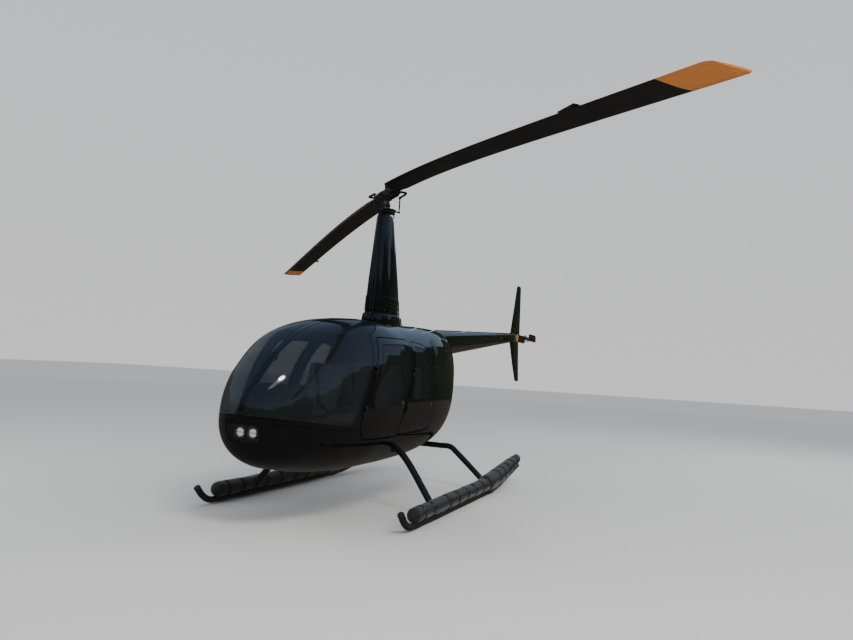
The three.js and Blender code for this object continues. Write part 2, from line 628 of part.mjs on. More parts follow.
// Tail boom, an even cone up to the tail gearbox
const BOOM = { front: { x: TAIL_END_X - GAP, z: 1682, r: 182 }, back: { x: -5600, z: 2013, r: 78 } };
const boomRing = ({ x, z, r }, count = 28) => Array.from({ length: count }, (_, k) => {
  const turn = (2 * Math.PI * k) / count;
  return vec(x, r * Math.cos(turn), z + r * Math.sin(turn));
});
const boomSolid = (grow) => {
  const ends = [BOOM.front, BOOM.back].map((end) => ({ ...end, r: end.r + grow }));
  return solid(loft(ends.map((end) => boomRing(end))));
};
place('tail_boom', 'body', geometryOf(boomSolid(0)));
const boomAt = (x) => {
  const share = (x - BOOM.front.x) / (BOOM.back.x - BOOM.front.x);
  const mix = (key) => THREE.MathUtils.lerp(BOOM.front[key], BOOM.back[key], share);
  return { x, z: mix('z'), r: mix('r') };
};

// Tail gearbox with its output shaft to port
const GEARBOX_END = -6010;
const boxRing = (x, r) => boomRing({ x, z: BOOM.back.z + 3, r }, 20);
const boxSolid = (grow) => solid(loft([
  boxRing(BOOM.back.x - GAP + grow, 76 + grow), boxRing(-5700, 74 + grow), boxRing(-5960, 56 + grow),
  boxRing(GEARBOX_END - grow, 40 + grow),
]));
const gearbox = union(
  boxSolid(0),
  rod(vec(TAIL_HUB.x, 0, TAIL_HUB.z), vec(TAIL_HUB.x, 120, TAIL_HUB.z), 44, 20, 34),
);
const outputBore = rod(vec(TAIL_HUB.x, 84, TAIL_HUB.z), vec(TAIL_HUB.x, 300, TAIL_HUB.z), 19, 20);
place('tail_gearbox', 'frame', geometryOf(cut(gearbox, outputBore)));

// Fins: a row is z, leading edge x, trailing edge x, thickness
const UPPER_FIN = [
  [2060, -5560, -6235, 52], [2600, -5770, -6205, 40], [2950, -5892, -6178, 28],
  [2974, -5930, -6150, 14],
];
const LOWER_FIN = [
  [1960, -5520, -6165, 52], [1560, -5800, -6240, 40], [1275, -6030, -6300, 28],
  [1250, -6070, -6280, 14],
];
const finRing = ([z, lead, trail, thick]) => (
  wingRing(14, lead - trail, thick, (x, y) => vec(x + trail, y, z), 1)
);
const [upperFin, lowerFin] = [UPPER_FIN, LOWER_FIN].map((rows) => solid(loft(rows.map(finRing))));
place('upper_fin', 'body', geometryOf(cut(upperFin, boxSolid(GAP), boomSolid(GAP))));
place('lower_fin', 'body', geometryOf(cut(lowerFin, boxSolid(GAP), boomSolid(GAP))));
// Stabiliser, on the starboard side only: a row is y, leading edge x, trailing edge x, thickness
const STABILISER = [[-30, -5560, -5900, 40], [-760, -5590, -5890, 30], [-775, -5610, -5870, 12]];
const STABILISER_Z = TAIL_HUB.z - 4;
const stabiliserRing = ([y, lead, trail, thick]) => (
  wingRing(14, lead - trail, thick, (x, z) => vec(x + trail, y, STABILISER_Z + z), 1)
);
const stabiliser = solid(loft(STABILISER.map(stabiliserRing)));
const tailCuts = [boxSolid(GAP), boomSolid(GAP), upperFin, lowerFin];
place('horizontal_stabiliser', 'body', geometryOf(cut(stabiliser, ...tailCuts)));

// Tail rotor, parked level
const TAIL_BOX = { long: 90, wide: 26, high: 30 };   // half sizes of the block at the hub
const tailHub = union(
  rod(vec(0, 90 - TAIL_HUB.y, 0), vec(0, 30, 0), 18, 20),
  rod(vec(0, 128 - TAIL_HUB.y, 0), vec(0, 160 - TAIL_HUB.y, 0), 46, 20),
  box(-TAIL_BOX.long, TAIL_BOX.long, -TAIL_BOX.wide, TAIL_BOX.wide, -TAIL_BOX.high, TAIL_BOX.high),
);
const toTail = (shape, turn = 0) => (
  geometryOf(shape).rotateY(turn).translate(TAIL_HUB.x, TAIL_HUB.y, TAIL_HUB.z)
);
place('tail_rotor_hub', 'metal', toTail(tailHub));
// Tail blade stations: radius, chord
const TAIL_STATIONS = [[150, 100], [185, TAIL_CHORD], [722, TAIL_CHORD], [TAIL_RADIUS, 104]];
const tailRing = ([radius, chord]) => wingRing(12, chord, 14, (z, y) => vec(radius, y, z));
const tailBlade = union(
  solid(loft(TAIL_STATIONS.map(tailRing))),
  rod(vec(TAIL_BOX.long + GAP, 0, 0), vec(200, 0, 0), 15, 12),
);
[0, Math.PI].forEach((turn, k) => {
  place(`tail_blade_${k + 1}`, 'blade', toTail(tailBlade, turn));
});

// Landing gear: cross tubes, skids, and the float bags laced on top of them
place('cross_tube_front', 'frame', geometryOf(crossTube(FRONT_GEAR, TUBE)));
place('cross_tube_rear', 'frame', geometryOf(crossTube(REAR_GEAR, TUBE)));
const SHOE = { front: 900, back: -900, half: 16, high: 14 };   // wear strip that a skid stands on
const SKID_LOW = SKID_TUBE + 3;
const skidPath = new THREE.CatmullRomCurve3([
  [1545, 165], [1475, 98], [1370, 44], [1230, SKID_LOW], [900, SKID_LOW],
  [0, SKID_LOW], [-900, SKID_LOW], [-1150, SKID_LOW + 3], [-1500, 62], [-2340, 196],
].map(([x, z]) => vec(x, 0, z)), false, 'centripetal');
const skid = union(
  solid(bar(skidPath, SKID_TUBE, 10, 22)),
  box(SHOE.back, SHOE.front, -SHOE.half, SHOE.half, 0, SHOE.high),
);
// Float bag sections along the skid: x, height of the middle, radius
const BAG = [
  [1295, 118, 30], [1272, 120, 62], [1225, 121, 72], [0, 122, 73], [-820, 124, 76], [-960, 133, 96],
  [-1150, 140, 101], [-1500, 172, 100], [-1950, 236, 84], [-2290, 286, 62], [-2345, 294, 34],
];
const bagRing = ([x, z, r]) => boomRing({ x, z, r }, 12);
const bag = solid(loft(BAG.map(bagRing)));
const grooved = cut(bag, solid(bar(skidPath, SKID_TUBE + GAP, 10, 22)));
const legRoom = [FRONT_GEAR, REAR_GEAR].map((gear) => crossTube(gear, TUBE + 1.5));
for (const [side, sign] of [['left', 1], ['right', -1]]) {
  const beside = (shape) => geometryOf(shape).translate(0, sign * SKID_Y, 0);
  place(`skid_${side}`, 'frame', beside(skid));
  place(`float_bag_${side}`, 'bag', geometryOf(cut(solid(beside(grooved)), ...legRoom)));
}

// Whip aerials: base x, length, lean aft in degrees
const AERIALS = [[-1075, 330, 21], [-1665, 470, 32], [-2940, 470, 30]];
AERIALS.forEach(([x, length, lean], k) => {
  const top = x > TAIL_END_X ? 1862 : boomAt(x).z + boomAt(x).r;
  const angle = THREE.MathUtils.degToRad(lean);
  const foot = vec(x, 0, top + 8);
  const tip = foot.clone().addScaledVector(vec(-Math.sin(angle), 0, Math.cos(angle)), length);
  const base = rod(vec(x, 0, top - 4), vec(x - 10, 0, top + 34), 24, 14, 9);
  const whip = union(base, rod(foot, tip, 6, 8, 3));
  place(`aerial_${k + 1}`, 'white', geometryOf(cut(whip, boomSolid(GAP), hull(-GAP))));
});

// Instrument console on the floor, and the T-bar cyclic between the front seats
// Console rows: x of its back and front, half width, height
const CONSOLE = [
  [1620, 2080, 130, FLOOR.top + GAP], [1640, 2060, 125, 900], [1730, 2050, 205, 960],
  [1790, 2030, 200, 1180],
];
const consoleRings = CONSOLE.map(([back, front, half, z]) => [
  vec(back, -half, z), vec(front, -half, z), vec(front, half, z), vec(back, half, z),
]);
place('instrument_console', 'trim', geometryOf(solid(loft(consoleRings)).intersect(room)));
const STICK = { x: 1330, bar: 1140, reach: 300, gripLow: 1050, gripHigh: 1165 };
const stickAt = (y, z, ahead = 0) => vec(STICK.x + ahead, y, z);
const stickPath = new THREE.CatmullRomCurve3([
  stickAt(0, FLOOR.top + 20), stickAt(0, 900, 15), stickAt(0, 1060, 40), stickAt(0, STICK.bar),
], false, 'centripetal');
const grips = [STICK.reach, -STICK.reach].map(
  (y) => rod(stickAt(y, STICK.gripLow), stickAt(y, STICK.gripHigh), 17, 10),
);
const stick = union(
  rod(stickAt(0, FLOOR.top + GAP), stickAt(0, FLOOR.top + 50), 45, 14, 22),
  solid(bar(stickPath, 16, 10, 10)),
  rod(stickAt(-STICK.reach, STICK.bar), stickAt(STICK.reach, STICK.bar), 12, 10),
  ...grips,
);
place('cyclic_stick', 'frame', geometryOf(stick));

// Seats: cushions on the boxes and backs that lean aft
const SEAT = { middle: 270, half: 230, back: 800, front: 1235, top: 905 };
const BACK = { foot: 720, thick: 80, height: 600, half: 228, lean: THREE.MathUtils.degToRad(20) };
const BENCH = { back: -100, front: 325, half: 520, top: 930 };
const BENCH_BACK = { back: FIREWALL.x + 2 * GAP, front: -110, half: 500, top: 1420 };
const pad = ({ back, front, half, top }, low, middle = 0) => (
  box(back, front, middle - half, middle + half, low, top)
);
for (const [side, sign] of [['left', 1], ['right', -1]]) {
  const cushion = pad(SEAT, FRONT_BOX.top + GAP, sign * SEAT.middle);
  place(`front_cushion_${side}`, 'seat', geometryOf(cushion));
  const back = new THREE.BoxGeometry(BACK.thick, 2 * BACK.half, BACK.height)
    .translate(BACK.thick / 2, 0, BACK.height / 2)
    .rotateY(-BACK.lean)
    .translate(BACK.foot, sign * SEAT.middle, FRONT_BOX.top + GAP);
  place(`front_back_${side}`, 'seat', back);
}
place('rear_cushion', 'seat', geometryOf(pad(BENCH, REAR_BOX.top + GAP)));
place('rear_back', 'seat', geometryOf(pad(BENCH_BACK, REAR_BOX.top + GAP)));

export default aircraft;
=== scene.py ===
# %% [markdown]
# # A light helicopter, dressed for its portrait
# The solid model of the machine comes in as a fixed frame: every cowl, door, blade and skid already
# has its place and its size. What is left is what the eye asks for: smooth gloss skins, tinted
# glass, laced float bags, sewn seats, rivets and wear. The machine's lengths are millimetres,
# measured from the mast's axis along the machine, from its middle plane to port, and up from the
# ground, as they would stand on a drawing. The studio round it is set out in the frame's metres.

# %% Load the machine
import math
import bmesh
import bpy
import numpy as np
from mathutils import Matrix, Vector
from mathutils.bvhtree import BVHTree
from mathutils.geometry import delaunay_2d_cdt


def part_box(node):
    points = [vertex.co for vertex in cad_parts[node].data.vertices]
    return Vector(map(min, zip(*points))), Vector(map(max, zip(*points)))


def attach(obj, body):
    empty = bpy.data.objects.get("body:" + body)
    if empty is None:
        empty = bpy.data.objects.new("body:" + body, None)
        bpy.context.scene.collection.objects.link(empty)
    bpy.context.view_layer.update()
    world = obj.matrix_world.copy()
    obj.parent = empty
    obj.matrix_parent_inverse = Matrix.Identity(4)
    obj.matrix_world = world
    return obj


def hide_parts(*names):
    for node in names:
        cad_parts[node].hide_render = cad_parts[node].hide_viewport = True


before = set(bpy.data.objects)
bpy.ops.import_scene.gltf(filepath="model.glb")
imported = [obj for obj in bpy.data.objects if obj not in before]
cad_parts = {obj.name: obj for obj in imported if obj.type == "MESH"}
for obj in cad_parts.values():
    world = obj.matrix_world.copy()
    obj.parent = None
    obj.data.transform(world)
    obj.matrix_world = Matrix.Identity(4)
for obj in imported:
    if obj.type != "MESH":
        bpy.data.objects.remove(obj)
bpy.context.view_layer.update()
scene = bpy.context.scene

# %% Small helpers
SIDES = (("left", 1), ("right", -1))


def circle(count, start=0.0):
    """Directions spread evenly once round, in radians."""
    return np.linspace(start, start + 2 * np.pi, count, endpoint=False)


def strip_faces(rows, count, closed=True, first=0):
    """Four-cornered faces between rows of points that are numbered row by row."""
    faces = []
    for r in range(rows - 1):
        for k in range(count if closed else count - 1):
            a, b = first + r * count + k, first + r * count + (k + 1) % count
            faces.append((a, b, b + count, a + count))
    return faces


def between(rows, at):
    """The values at a place, from rows that each start with their own place."""
    rows = np.asarray(rows, float)
    rows = rows[np.argsort(rows[:, 0])]
    return [np.interp(at, rows[:, 0], rows[:, k]) for k in range(1, rows.shape[1])]


print("sides", *[name for name, _ in SIDES])

# %% [markdown]
# ## The camera
# A photographer stood ahead of the machine on its port side with the lens at about chest height.
# The lens and the place below were worked out from the sizes of the rotor and the cabin. The
# camera's three axes are written down directly, which is less open to mistakes than three angles.

# %% Camera
MAST_X = 1412             # the mast's axis stands this far along the frame's x
SENSOR = 36
FOCAL_PIXELS, WIDTH_PIXELS = 753.9, 853
CAMERA_AT = (8.753, 3.344, 1.368)
RIGHT, UP, AHEAD = (Vector(v) for v in (
    (-0.35304, 0.93377, 0.05845), (0.08188, -0.03140, 0.99614), (-0.93201, -0.35647, 0.06537)))
camera_data = bpy.data.cameras.new("portrait_lens")
camera_data.sensor_width = SENSOR
camera_data.lens = SENSOR * FOCAL_PIXELS / WIDTH_PIXELS
camera_data.clip_end = 300
camera = bpy.data.objects.new("portrait_camera", camera_data)
scene.collection.objects.link(camera)
camera.matrix_world = Matrix.Translation(CAMERA_AT) @ Matrix(
    (RIGHT, UP, -AHEAD)).transposed().to_4x4()
scene.camera = camera
print("lens", round(camera_data.lens, 2), "mm")

# %% [markdown]
# ## Floor, sky and lamps
# Gloss black paint is only seen by what it mirrors. A bare white room turns it grey, and a dark one
# loses it. So the light and the mirrored room are kept apart. The light comes from a pale dome, a
# pale floor and three soft lamps that reflections don't see. What the paint mirrors is a set of cards
# that only reflections see, like the black cards that a car photographer stands round a car: a dark
# floor, a ring of flags with a ragged top edge, a dim blue sky, and one small bright disc.

# %% Floor and dome
def node_tree(owner):
    owner.use_nodes = True
    owner.node_tree.nodes.clear()
    return owner.node_tree.nodes, owner.node_tree.links


def add(nodes, kind, second=None, **values):
    """A new node. Lower-case names are its own settings, capitalised names are its inputs."""
    node = nodes.new(f"ShaderNode{kind}")
    for name, value in values.items():
        if name.islower():
            setattr(node, name, value)
        else:
            node.inputs[name.replace("_", " ")].default_value = value
    if second is not None:
        node.inputs[1].default_value = second
    return node


def chain(links, *nodes):
    """Links the first output of each node to the first input of the next."""
    for one, after in zip(nodes, nodes[1:]):
        links.new(one.outputs[0], after.inputs[0])


def two_tone(nodes, low, high):
    """A ramp from one colour to another."""
    ramp = add(nodes, "ValToRGB")
    for stop, shade in zip(ramp.color_ramp.elements, (low, high)):
        stop.color = (*shade, 1)
    return ramp


DOME = [(0.0, (0.80, 0.80, 0.80)), (0.5, (0.84, 0.84, 0.84)), (0.62, (0.80, 0.81, 0.83)),
        (1.0, (0.66, 0.69, 0.74))]
world = bpy.data.worlds.new("studio_dome")
scene.world = world
nodes, links = node_tree(world)
place, split, ramp = (add(nodes, kind) for kind in ("TexCoord", "SeparateXYZ", "ValToRGB"))
glow, sky_end = add(nodes, "Background", Strength=0.95), add(nodes, "OutputWorld")
rescale = add(nodes, "MapRange", From_Min=-1)
chain(links, place, split)
links.new(split.outputs["Z"], rescale.inputs[0])
chain(links, rescale, ramp, glow, sky_end)
while len(ramp.color_ramp.elements) < len(DOME):
    ramp.color_ramp.elements.new(0.5)
for stop, (at, shade) in zip(ramp.color_ramp.elements, DOME):
    stop.position = at
    stop.color = (*shade, 1)


def soft_lamp(name, at, aim, size, watts, tint=(1, 1, 1)):
    data = bpy.data.lights.new(name, "AREA")
    data.shape = "RECTANGLE"
    data.size, data.size_y = size
    data.energy = watts
    data.color = tint
    lamp = bpy.data.objects.new(name, data)
    scene.collection.objects.link(lamp)
    lamp.location = at
    lamp.rotation_euler = (Vector(aim) - Vector(at)).to_track_quat("-Z", "Y").to_euler()
    lamp.visible_glossy = False


soft_lamp("key_lamp", (9, 7, 9), (1, 0, 1), (3.5, 2.5), 900, (1.0, 0.97, 0.92))
soft_lamp("tail_lamp", (-7, 8, 7), (-2, 0, 1.5), (6, 3), 350)
soft_lamp("low_lamp", (6, -7, 3), (1, 0, 0.8), (5, 2), 120)
floor_mesh = bpy.data.meshes.new("studio_floor")
floor_mesh.from_pydata([(-60, -60, 0), (60, -60, 0), (60, 60, 0), (-60, 60, 0)], [], [(0, 1, 2, 3)])
floor = bpy.data.objects.new("studio_floor", floor_mesh)
scene.collection.objects.link(floor)
floor_coat = bpy.data.materials.new("studio_floor")
nodes, links = node_tree(floor_coat)
shader = add(nodes, "BsdfPrincipled", Roughness=0.75, Specular_IOR_Level=0.2)
mottle = add(nodes, "TexNoise", Scale=0.6)
tone = two_tone(nodes, (0.66, 0.66, 0.65), (0.71, 0.71, 0.70))
end = add(nodes, "OutputMaterial")
chain(links, mottle, tone, shader, end)
floor_mesh.materials.append(floor_coat)

# %% Cards for the paint to mirror
def mirror_card(name, corners, faces, shades, scale=1.4, strength=1.0, top=None):
    """A glowing card that only reflections see. With a top, its second shade is at that height."""
    mesh = bpy.data.meshes.new(name)
    mesh.from_pydata(corners, [], faces)
    card = bpy.data.objects.new(name, mesh)
    scene.collection.objects.link(card)
    card.visible_camera = card.visible_diffuse = card.visible_shadow = False
    card.visible_transmission = card.visible_volume_scatter = False
    cloth = bpy.data.materials.new(name)
    nodes, links = node_tree(cloth)
    glow = add(nodes, "Emission", Strength=strength)
    tone = two_tone(nodes, *shades)
    end = add(nodes, "OutputMaterial")
    if top:
        where, split = add(nodes, "TexCoord"), add(nodes, "SeparateXYZ")
        rise = add(nodes, "MapRange", From_Max=top)
        links.new(where.outputs["Object"], split.inputs[0])
        links.new(split.outputs["Z"], rise.inputs[0])
        chain(links, rise, tone)
    else:
        chain(links, add(nodes, "TexNoise", Scale=scale, Detail=5), tone)
    chain(links, tone, glow, end)
    mesh.materials.append(cloth)


CARD_POINTS = 180
FLAG_RADIUS, CARD_FLOOR_RADIUS, SKY_RADIUS = 17, 18, 30
turn = circle(CARD_POINTS)
tops = 6.6 + 0.9 * np.sin(turn * 7) + 0.45 * np.sin(turn * 17 + 1) + 0.3 * np.sin(turn * 31 + 2)
around = [(math.cos(t), math.sin(t)) for t in turn]
mirror_card("dark_flags", [(FLAG_RADIUS * c, FLAG_RADIUS * s, 0) for c, s in around] +
            [(FLAG_RADIUS * c, FLAG_RADIUS * s, h) for (c, s), h in zip(around, tops)],
            strip_faces(2, CARD_POINTS), ((0.004, 0.006, 0.003), (0.045, 0.055, 0.032)))
mirror_card("dark_floor", [(CARD_FLOOR_RADIUS * c, CARD_FLOOR_RADIUS * s, 0.004) for c, s in around],
            [tuple(range(CARD_POINTS))], ((0.020, 0.018, 0.016), (0.11, 0.10, 0.085)), 0.9)
heights = np.radians([0, 8, 18, 30, 44, 60, 76, 89])
sky = [(SKY_RADIUS * math.cos(h) * c, SKY_RADIUS * math.cos(h) * s, SKY_RADIUS * math.sin(h))
       for h in heights for c, s in around]
mirror_card("dim_sky", sky, strip_faces(len(heights), CARD_POINTS),
            ((0.26, 0.33, 0.42), (0.05, 0.10, 0.21)), top=28)
# The disc stands where the windscreen's port half mirrors it towards the camera. It is a long oval,
# because the curve of the screen squeezes it into a round spot.
disc_at, screen_spot = Vector((6.48, -0.57, 12.87)), Vector((3.614, 0.198, 1.235))
disc_line = (disc_at - screen_spot).normalized()
across = Vector((0, 0, 1)).cross(disc_line).normalized()
upward = disc_line.cross(across)
for name, wide, high, strength, back in (("bright_disc", 0.9, 0.22, 40, 0),
                                         ("disc_halo", 1.5, 0.38, 1.5, 0.1)):
    middle = disc_at + disc_line * back
    mirror_card(name, [tuple(middle + wide * c * across + high * s * upward) for c, s in around],
                [tuple(range(CARD_POINTS))], ((1.0, 0.98, 0.94), (1.0, 0.99, 0.97)), strength=strength)

# %% [markdown]
# ## Finishes
# Each finish is a small node network: one shader with its even values set on it, and noise that
# moves colour, roughness and height a little, at the scale of the real thing. Orange peel in paint
# is a ripple of two or three millimetres, leather grain is about one, and dust gathers low down.
# One helper wires the common parts, so that a new finish is a few lines.

# %% Wiring for a finish
def finish(name, colours, rough, grain=(900, 0.1, 0.0004), spread=14, **even):
    """A finish: two colours and two roughnesses mixed by noise, and a fine grain in relief."""
    material = bpy.data.materials.new(name)
    nodes, links = node_tree(material)
    shader, end = add(nodes, "BsdfPrincipled", **even), add(nodes, "OutputMaterial")
    where = add(nodes, "TexCoord")
    clouds = add(nodes, "TexNoise", Scale=spread, Detail=6)
    tone = add(nodes, "Mix", data_type="RGBA", A=(*colours[0], 1), B=(*colours[1], 1))
    sheen = add(nodes, "MapRange", From_Min=0.3, From_Max=0.7, To_Min=rough[0], To_Max=rough[1])
    fine = add(nodes, "TexNoise", Scale=grain[0], Detail=3)
    relief = add(nodes, "Bump", Strength=grain[1], Distance=grain[2])
    chain(links, shader, end)
    for noise in (clouds, fine):
        links.new(where.outputs["Object"], noise.inputs["Vector"])
    links.new(clouds.outputs[0], tone.inputs["Factor"])
    links.new(tone.outputs["Result"], shader.inputs["Base Color"])
    chain(links, clouds, sheen)
    links.new(sheen.outputs[0], shader.inputs["Roughness"])
    links.new(fine.outputs[0], relief.inputs["Height"])
    links.new(relief.outputs[0], shader.inputs["Normal"])
    return material


def parts_of(material):
    """The shader, the colour mix and the relief of a finish, for what a single finish adds."""
    found = {}
    for node in material.node_tree.nodes:
        found.setdefault(node.bl_idname, node)
    return material.node_tree.nodes, material.node_tree.links, found


# %% [markdown]
# The gloss black coat is two layers, a near-black base and clear lacquer. Dust and spray dull it
# towards the belly, so a mask that rises from the ground mixes in a greyer, rougher coat.

# %% Gloss black coat
def dusty_low(material, low, high, dust, rough):
    """Dulls a finish below a height, in metres, with a broken upper edge."""
    nodes, links, found = parts_of(material)
    shader, where = found["ShaderNodeBsdfPrincipled"], found["ShaderNodeTexCoord"]
    split = add(nodes, "SeparateXYZ")
    rise = add(nodes, "MapRange", From_Min=high, From_Max=low)
    speck = add(nodes, "TexNoise", Scale=60, Detail=8)
    broken = add(nodes, "Math", operation="MULTIPLY")
    links.new(where.outputs["Object"], split.inputs[0])
    links.new(split.outputs["Z"], rise.inputs[0])
    links.new(where.outputs["Object"], speck.inputs["Vector"])
    for k, part in enumerate((rise, speck)):
        links.new(part.outputs[0], broken.inputs[k])
    for socket, kind, value in (("Base Color", "RGBA", (*dust, 1)), ("Roughness", "FLOAT", rough)):
        old = shader.inputs[socket].links[0].from_socket
        mix = add(nodes, "Mix", data_type=kind)
        # a mix has sockets for every type, and only those of its own type are on
        factor, clean, dusty = (s for s in mix.inputs if s.enabled)
        links.new(broken.outputs[0], factor)
        links.new(old, clean)
        dusty.default_value = value
        links.new([s for s in mix.outputs if s.enabled][0], shader.inputs[socket])


gloss_black = finish("gloss_black_coat", ((0.003, 0.003, 0.004), (0.006, 0.006, 0.007)),
                     (0.04, 0.09), (420, 0.04, 0.0002), 9, Specular_IOR_Level=0.25,
                     Coat_Weight=0.8, Coat_Roughness=0.02)
dusty_low(gloss_black, 0.25, 0.62, (0.022, 0.020, 0.017), 0.34)
satin_black = finish("satin_black_coat", ((0.006, 0.006, 0.007), (0.013, 0.013, 0.014)),
                     (0.28, 0.45), (500, 0.2, 0.0003), 20)
dusty_low(satin_black, 0.0, 0.25, (0.05, 0.045, 0.038), 0.7)
print("coats", gloss_black.name, satin_black.name)

# %% [markdown]
# Tinted acrylic lets less than half of the light through, and mirrors more at a slant than straight
# on. A see-through share on the shader is quick to render and holds up in other programs, where
# true refraction often doesn't, so the tint is a share and a raised index of refraction makes up
# for the gloss that the share takes away.

# %% Glass, rubber and metal
tinted_acrylic = finish("tinted_acrylic", ((0.012, 0.014, 0.017), (0.017, 0.019, 0.021)),
                        (0.015, 0.035), (6, 0.03, 0.002), 3, Alpha=0.55, IOR=1.9)
clear_acrylic = finish("clear_acrylic", ((0.04, 0.042, 0.045), (0.06, 0.062, 0.065)), (0.03, 0.08),
                       (8, 0.03, 0.001), 5, Alpha=0.12, IOR=1.8)
rubber = finish("black_rubber", ((0.005, 0.005, 0.005), (0.012, 0.012, 0.011)), (0.55, 0.75),
                (700, 0.3, 0.0004), 40)
bare_steel = finish("satin_steel", ((0.38, 0.38, 0.39), (0.52, 0.52, 0.53)), (0.24, 0.42),
                    (1400, 0.15, 0.0002), 30, Metallic=1.0)
zinc_plate = finish("zinc_plate", ((0.42, 0.40, 0.34), (0.60, 0.58, 0.52)), (0.22, 0.38),
                    (1600, 0.1, 0.0001), 80, Metallic=1.0)
cast_metal = finish("cast_metal", ((0.16, 0.165, 0.17), (0.27, 0.27, 0.28)), (0.45, 0.62),
                    (260, 0.5, 0.0009), 18, Metallic=0.75)
dark_forging = finish("dark_forging", ((0.030, 0.030, 0.032), (0.060, 0.058, 0.056)), (0.34, 0.55),
                      (320, 0.4, 0.0005), 24, Metallic=0.6)
mirror_metal = finish("lamp_reflector", ((0.82, 0.83, 0.84), (0.92, 0.92, 0.93)), (0.04, 0.09),
                      (120, 0.1, 0.0003), 25, Metallic=1.0)
hot_steel = finish("heat_stained_steel", ((0.20, 0.16, 0.13), (0.42, 0.36, 0.33)), (0.35, 0.6),
                   (300, 0.3, 0.0005), 12, Metallic=0.9)
# a glass that glows a little: painted sparkle and painted glint, not lamplight
painted_glow_glass = finish("painted_glow_lens", ((0.62, 0.64, 0.66), (0.80, 0.81, 0.82)), (0.10, 0.22),
                   (160, 0.9, 0.003), 60, Alpha=0.62, IOR=1.7, Emission_Color=(0.92, 0.95, 1.0, 1),
                   Emission_Strength=0.5)
print("metals", bare_steel.name, zinc_plate.name, cast_metal.name, hot_steel.name)

# %% [markdown]
# ## The shape of the cabin
# The skin runs through fifteen sections from the nose to the fan. Each section is an oval that can
# be fuller than an ellipse, above and below its widest line, and a smooth curve joins them. A
# modelled cage with subdivision would look as smooth, but a formula gives the exact normal at every
# point, and a mirror-like coat shows every dent that a guessed normal makes.

# %% Sections and the curve through them
# x, underside, top, half width, height of the widest line, fullness above it, fullness below it
SECTIONS = np.array([
    (2440, 905, 955, 40, 930, 2.6, 2.1), (2425, 802, 1030, 110, 915, 2.6, 2.1),
    (2385, 726, 1088, 188, 900, 2.6, 2.1), (2270, 578, 1200, 312, 880, 2.6, 2.05),
    (2110, 508, 1356, 422, 890, 2.6, 2.05), (1940, 476, 1486, 500, 910, 2.65, 2.1),
    (1640, 433, 1652, 584, 950, 2.9, 2.25), (1250, 409, 1760, 632, 1010, 3.05, 2.45),
    (850, 402, 1812, 645, 1060, 2.9, 2.45), (360, 402, 1820, 645, 1090, 2.6, 2.45),
    (-200, 420, 1830, 635, 1110, 2.5, 2.45), (-720, 470, 1852, 588, 1150, 2.45, 2.45),
    (-1100, 522, 1860, 500, 1220, 2.45, 2.45), (-1380, 555, 1860, 405, 1300, 2.45, 2.45),
    (-1430, 600, 1848, 370, 1310, 2.45, 2.45)], float)
NOSE_X, TAIL_X = 2440.0, -1430.0
NOSE_ROUND, TAIL_ROUND = 8.0, 18.0


def along_sections(t):
    t = np.clip(t, 0, 1) * (len(SECTIONS) - 1)
    k = np.minimum(t.astype(int), len(SECTIONS) - 2)
    w = (t - k)[:, None]
    rows = np.vstack([2 * SECTIONS[0] - SECTIONS[1], SECTIONS, 2 * SECTIONS[-1] - SECTIONS[-2]])
    a, b, c, d = (rows[k + j] for j in range(4))
    lead, tail = (c - a) / 2, (d - b) / 2
    return b + lead * w + (3 * (c - b) - 2 * lead - tail) * w**2 + (2 * (b - c) + lead + tail) * w**3


TABLE = along_sections(np.linspace(0, 1, 6001))[::-1]
# Distance along the skin from the tail, so that points spread evenly over the steep nose
RUN = np.concatenate([[0], np.cumsum(np.sqrt(
    np.diff(TABLE[:, 0])**2 + np.diff(TABLE[:, 2])**2 / 2 + np.diff(TABLE[:, 1])**2 / 2
    + np.diff(TABLE[:, 3])**2))])


def section(x):
    under, top, half, middle, above, below = (
        np.interp(x, TABLE[:, 0], TABLE[:, k]) for k in range(1, 7))
    tip = np.sqrt(np.clip(1 - (np.clip(x - NOSE_X, 0, None) / NOSE_ROUND)**2, 1e-6, 1))
    return middle - (middle - under) * tip, middle + (top - middle) * tip, half * tip, middle, above, below


def on_skin(x, turn):
    """Points on the skin at station x, in the direction turn from the widest line, 0 to port."""
    under, top, half, middle, above, below = section(x)
    out, rise = np.cos(turn), np.sin(turn)
    height = np.where(rise >= 0, top - middle, middle - under)
    power = np.where(rise >= 0, above, below)
    reach = (np.abs(out / half)**power + np.abs(rise / height)**power)**(-1 / power)
    near_tail = np.clip(TAIL_ROUND - (x - TAIL_X), 0, TAIL_ROUND)
    reach = reach - (TAIL_ROUND - np.sqrt(TAIL_ROUND**2 - near_tail**2))
    return np.stack([x, reach * out, middle + reach * rise], -1)


def normal_at(x, turn):
    x0, x1 = np.maximum(x - 1.5, TAIL_X), np.minimum(x + 1.5, NOSE_X + NOSE_ROUND * 0.999)
    along = on_skin(x1, turn) - on_skin(x0, turn)
    around = on_skin(x, turn + 0.003) - on_skin(x, turn - 0.003)
    normal = np.cross(around, along)
    outward = normal[:, 1] * np.cos(turn) + normal[:, 2] * np.sin(turn)
    normal *= np.where(outward < 0, -1, 1)[:, None]
    return normal / np.linalg.norm(normal, axis=1)[:, None]


def turn_at(x, z, side=1, under=False):
    """The direction of the skin's point at a station and height, on one side of the machine."""
    low, top, half, middle, above, below = section(x)
    share = np.where(z >= middle, (z - middle) / (top - middle), (middle - z) / (middle - low))
    power = np.where(z >= middle, above, below)
    y = half * (1 - np.clip(share, 0, 1)**power)**(1 / power)
    turn = np.arctan2(z - middle, y)
    if side < 0:
        turn = (-np.pi if under else np.pi) - turn
    return turn


def side_point(x, z, side=1, lift=0.0):
    """One point and its normal on the skin, from the side view."""
    xs = np.array([float(x)])
    turn = turn_at(xs, np.array([float(z)]), side)
    normal = normal_at(xs, turn)[0]
    return on_skin(xs, turn)[0] + lift * normal, normal


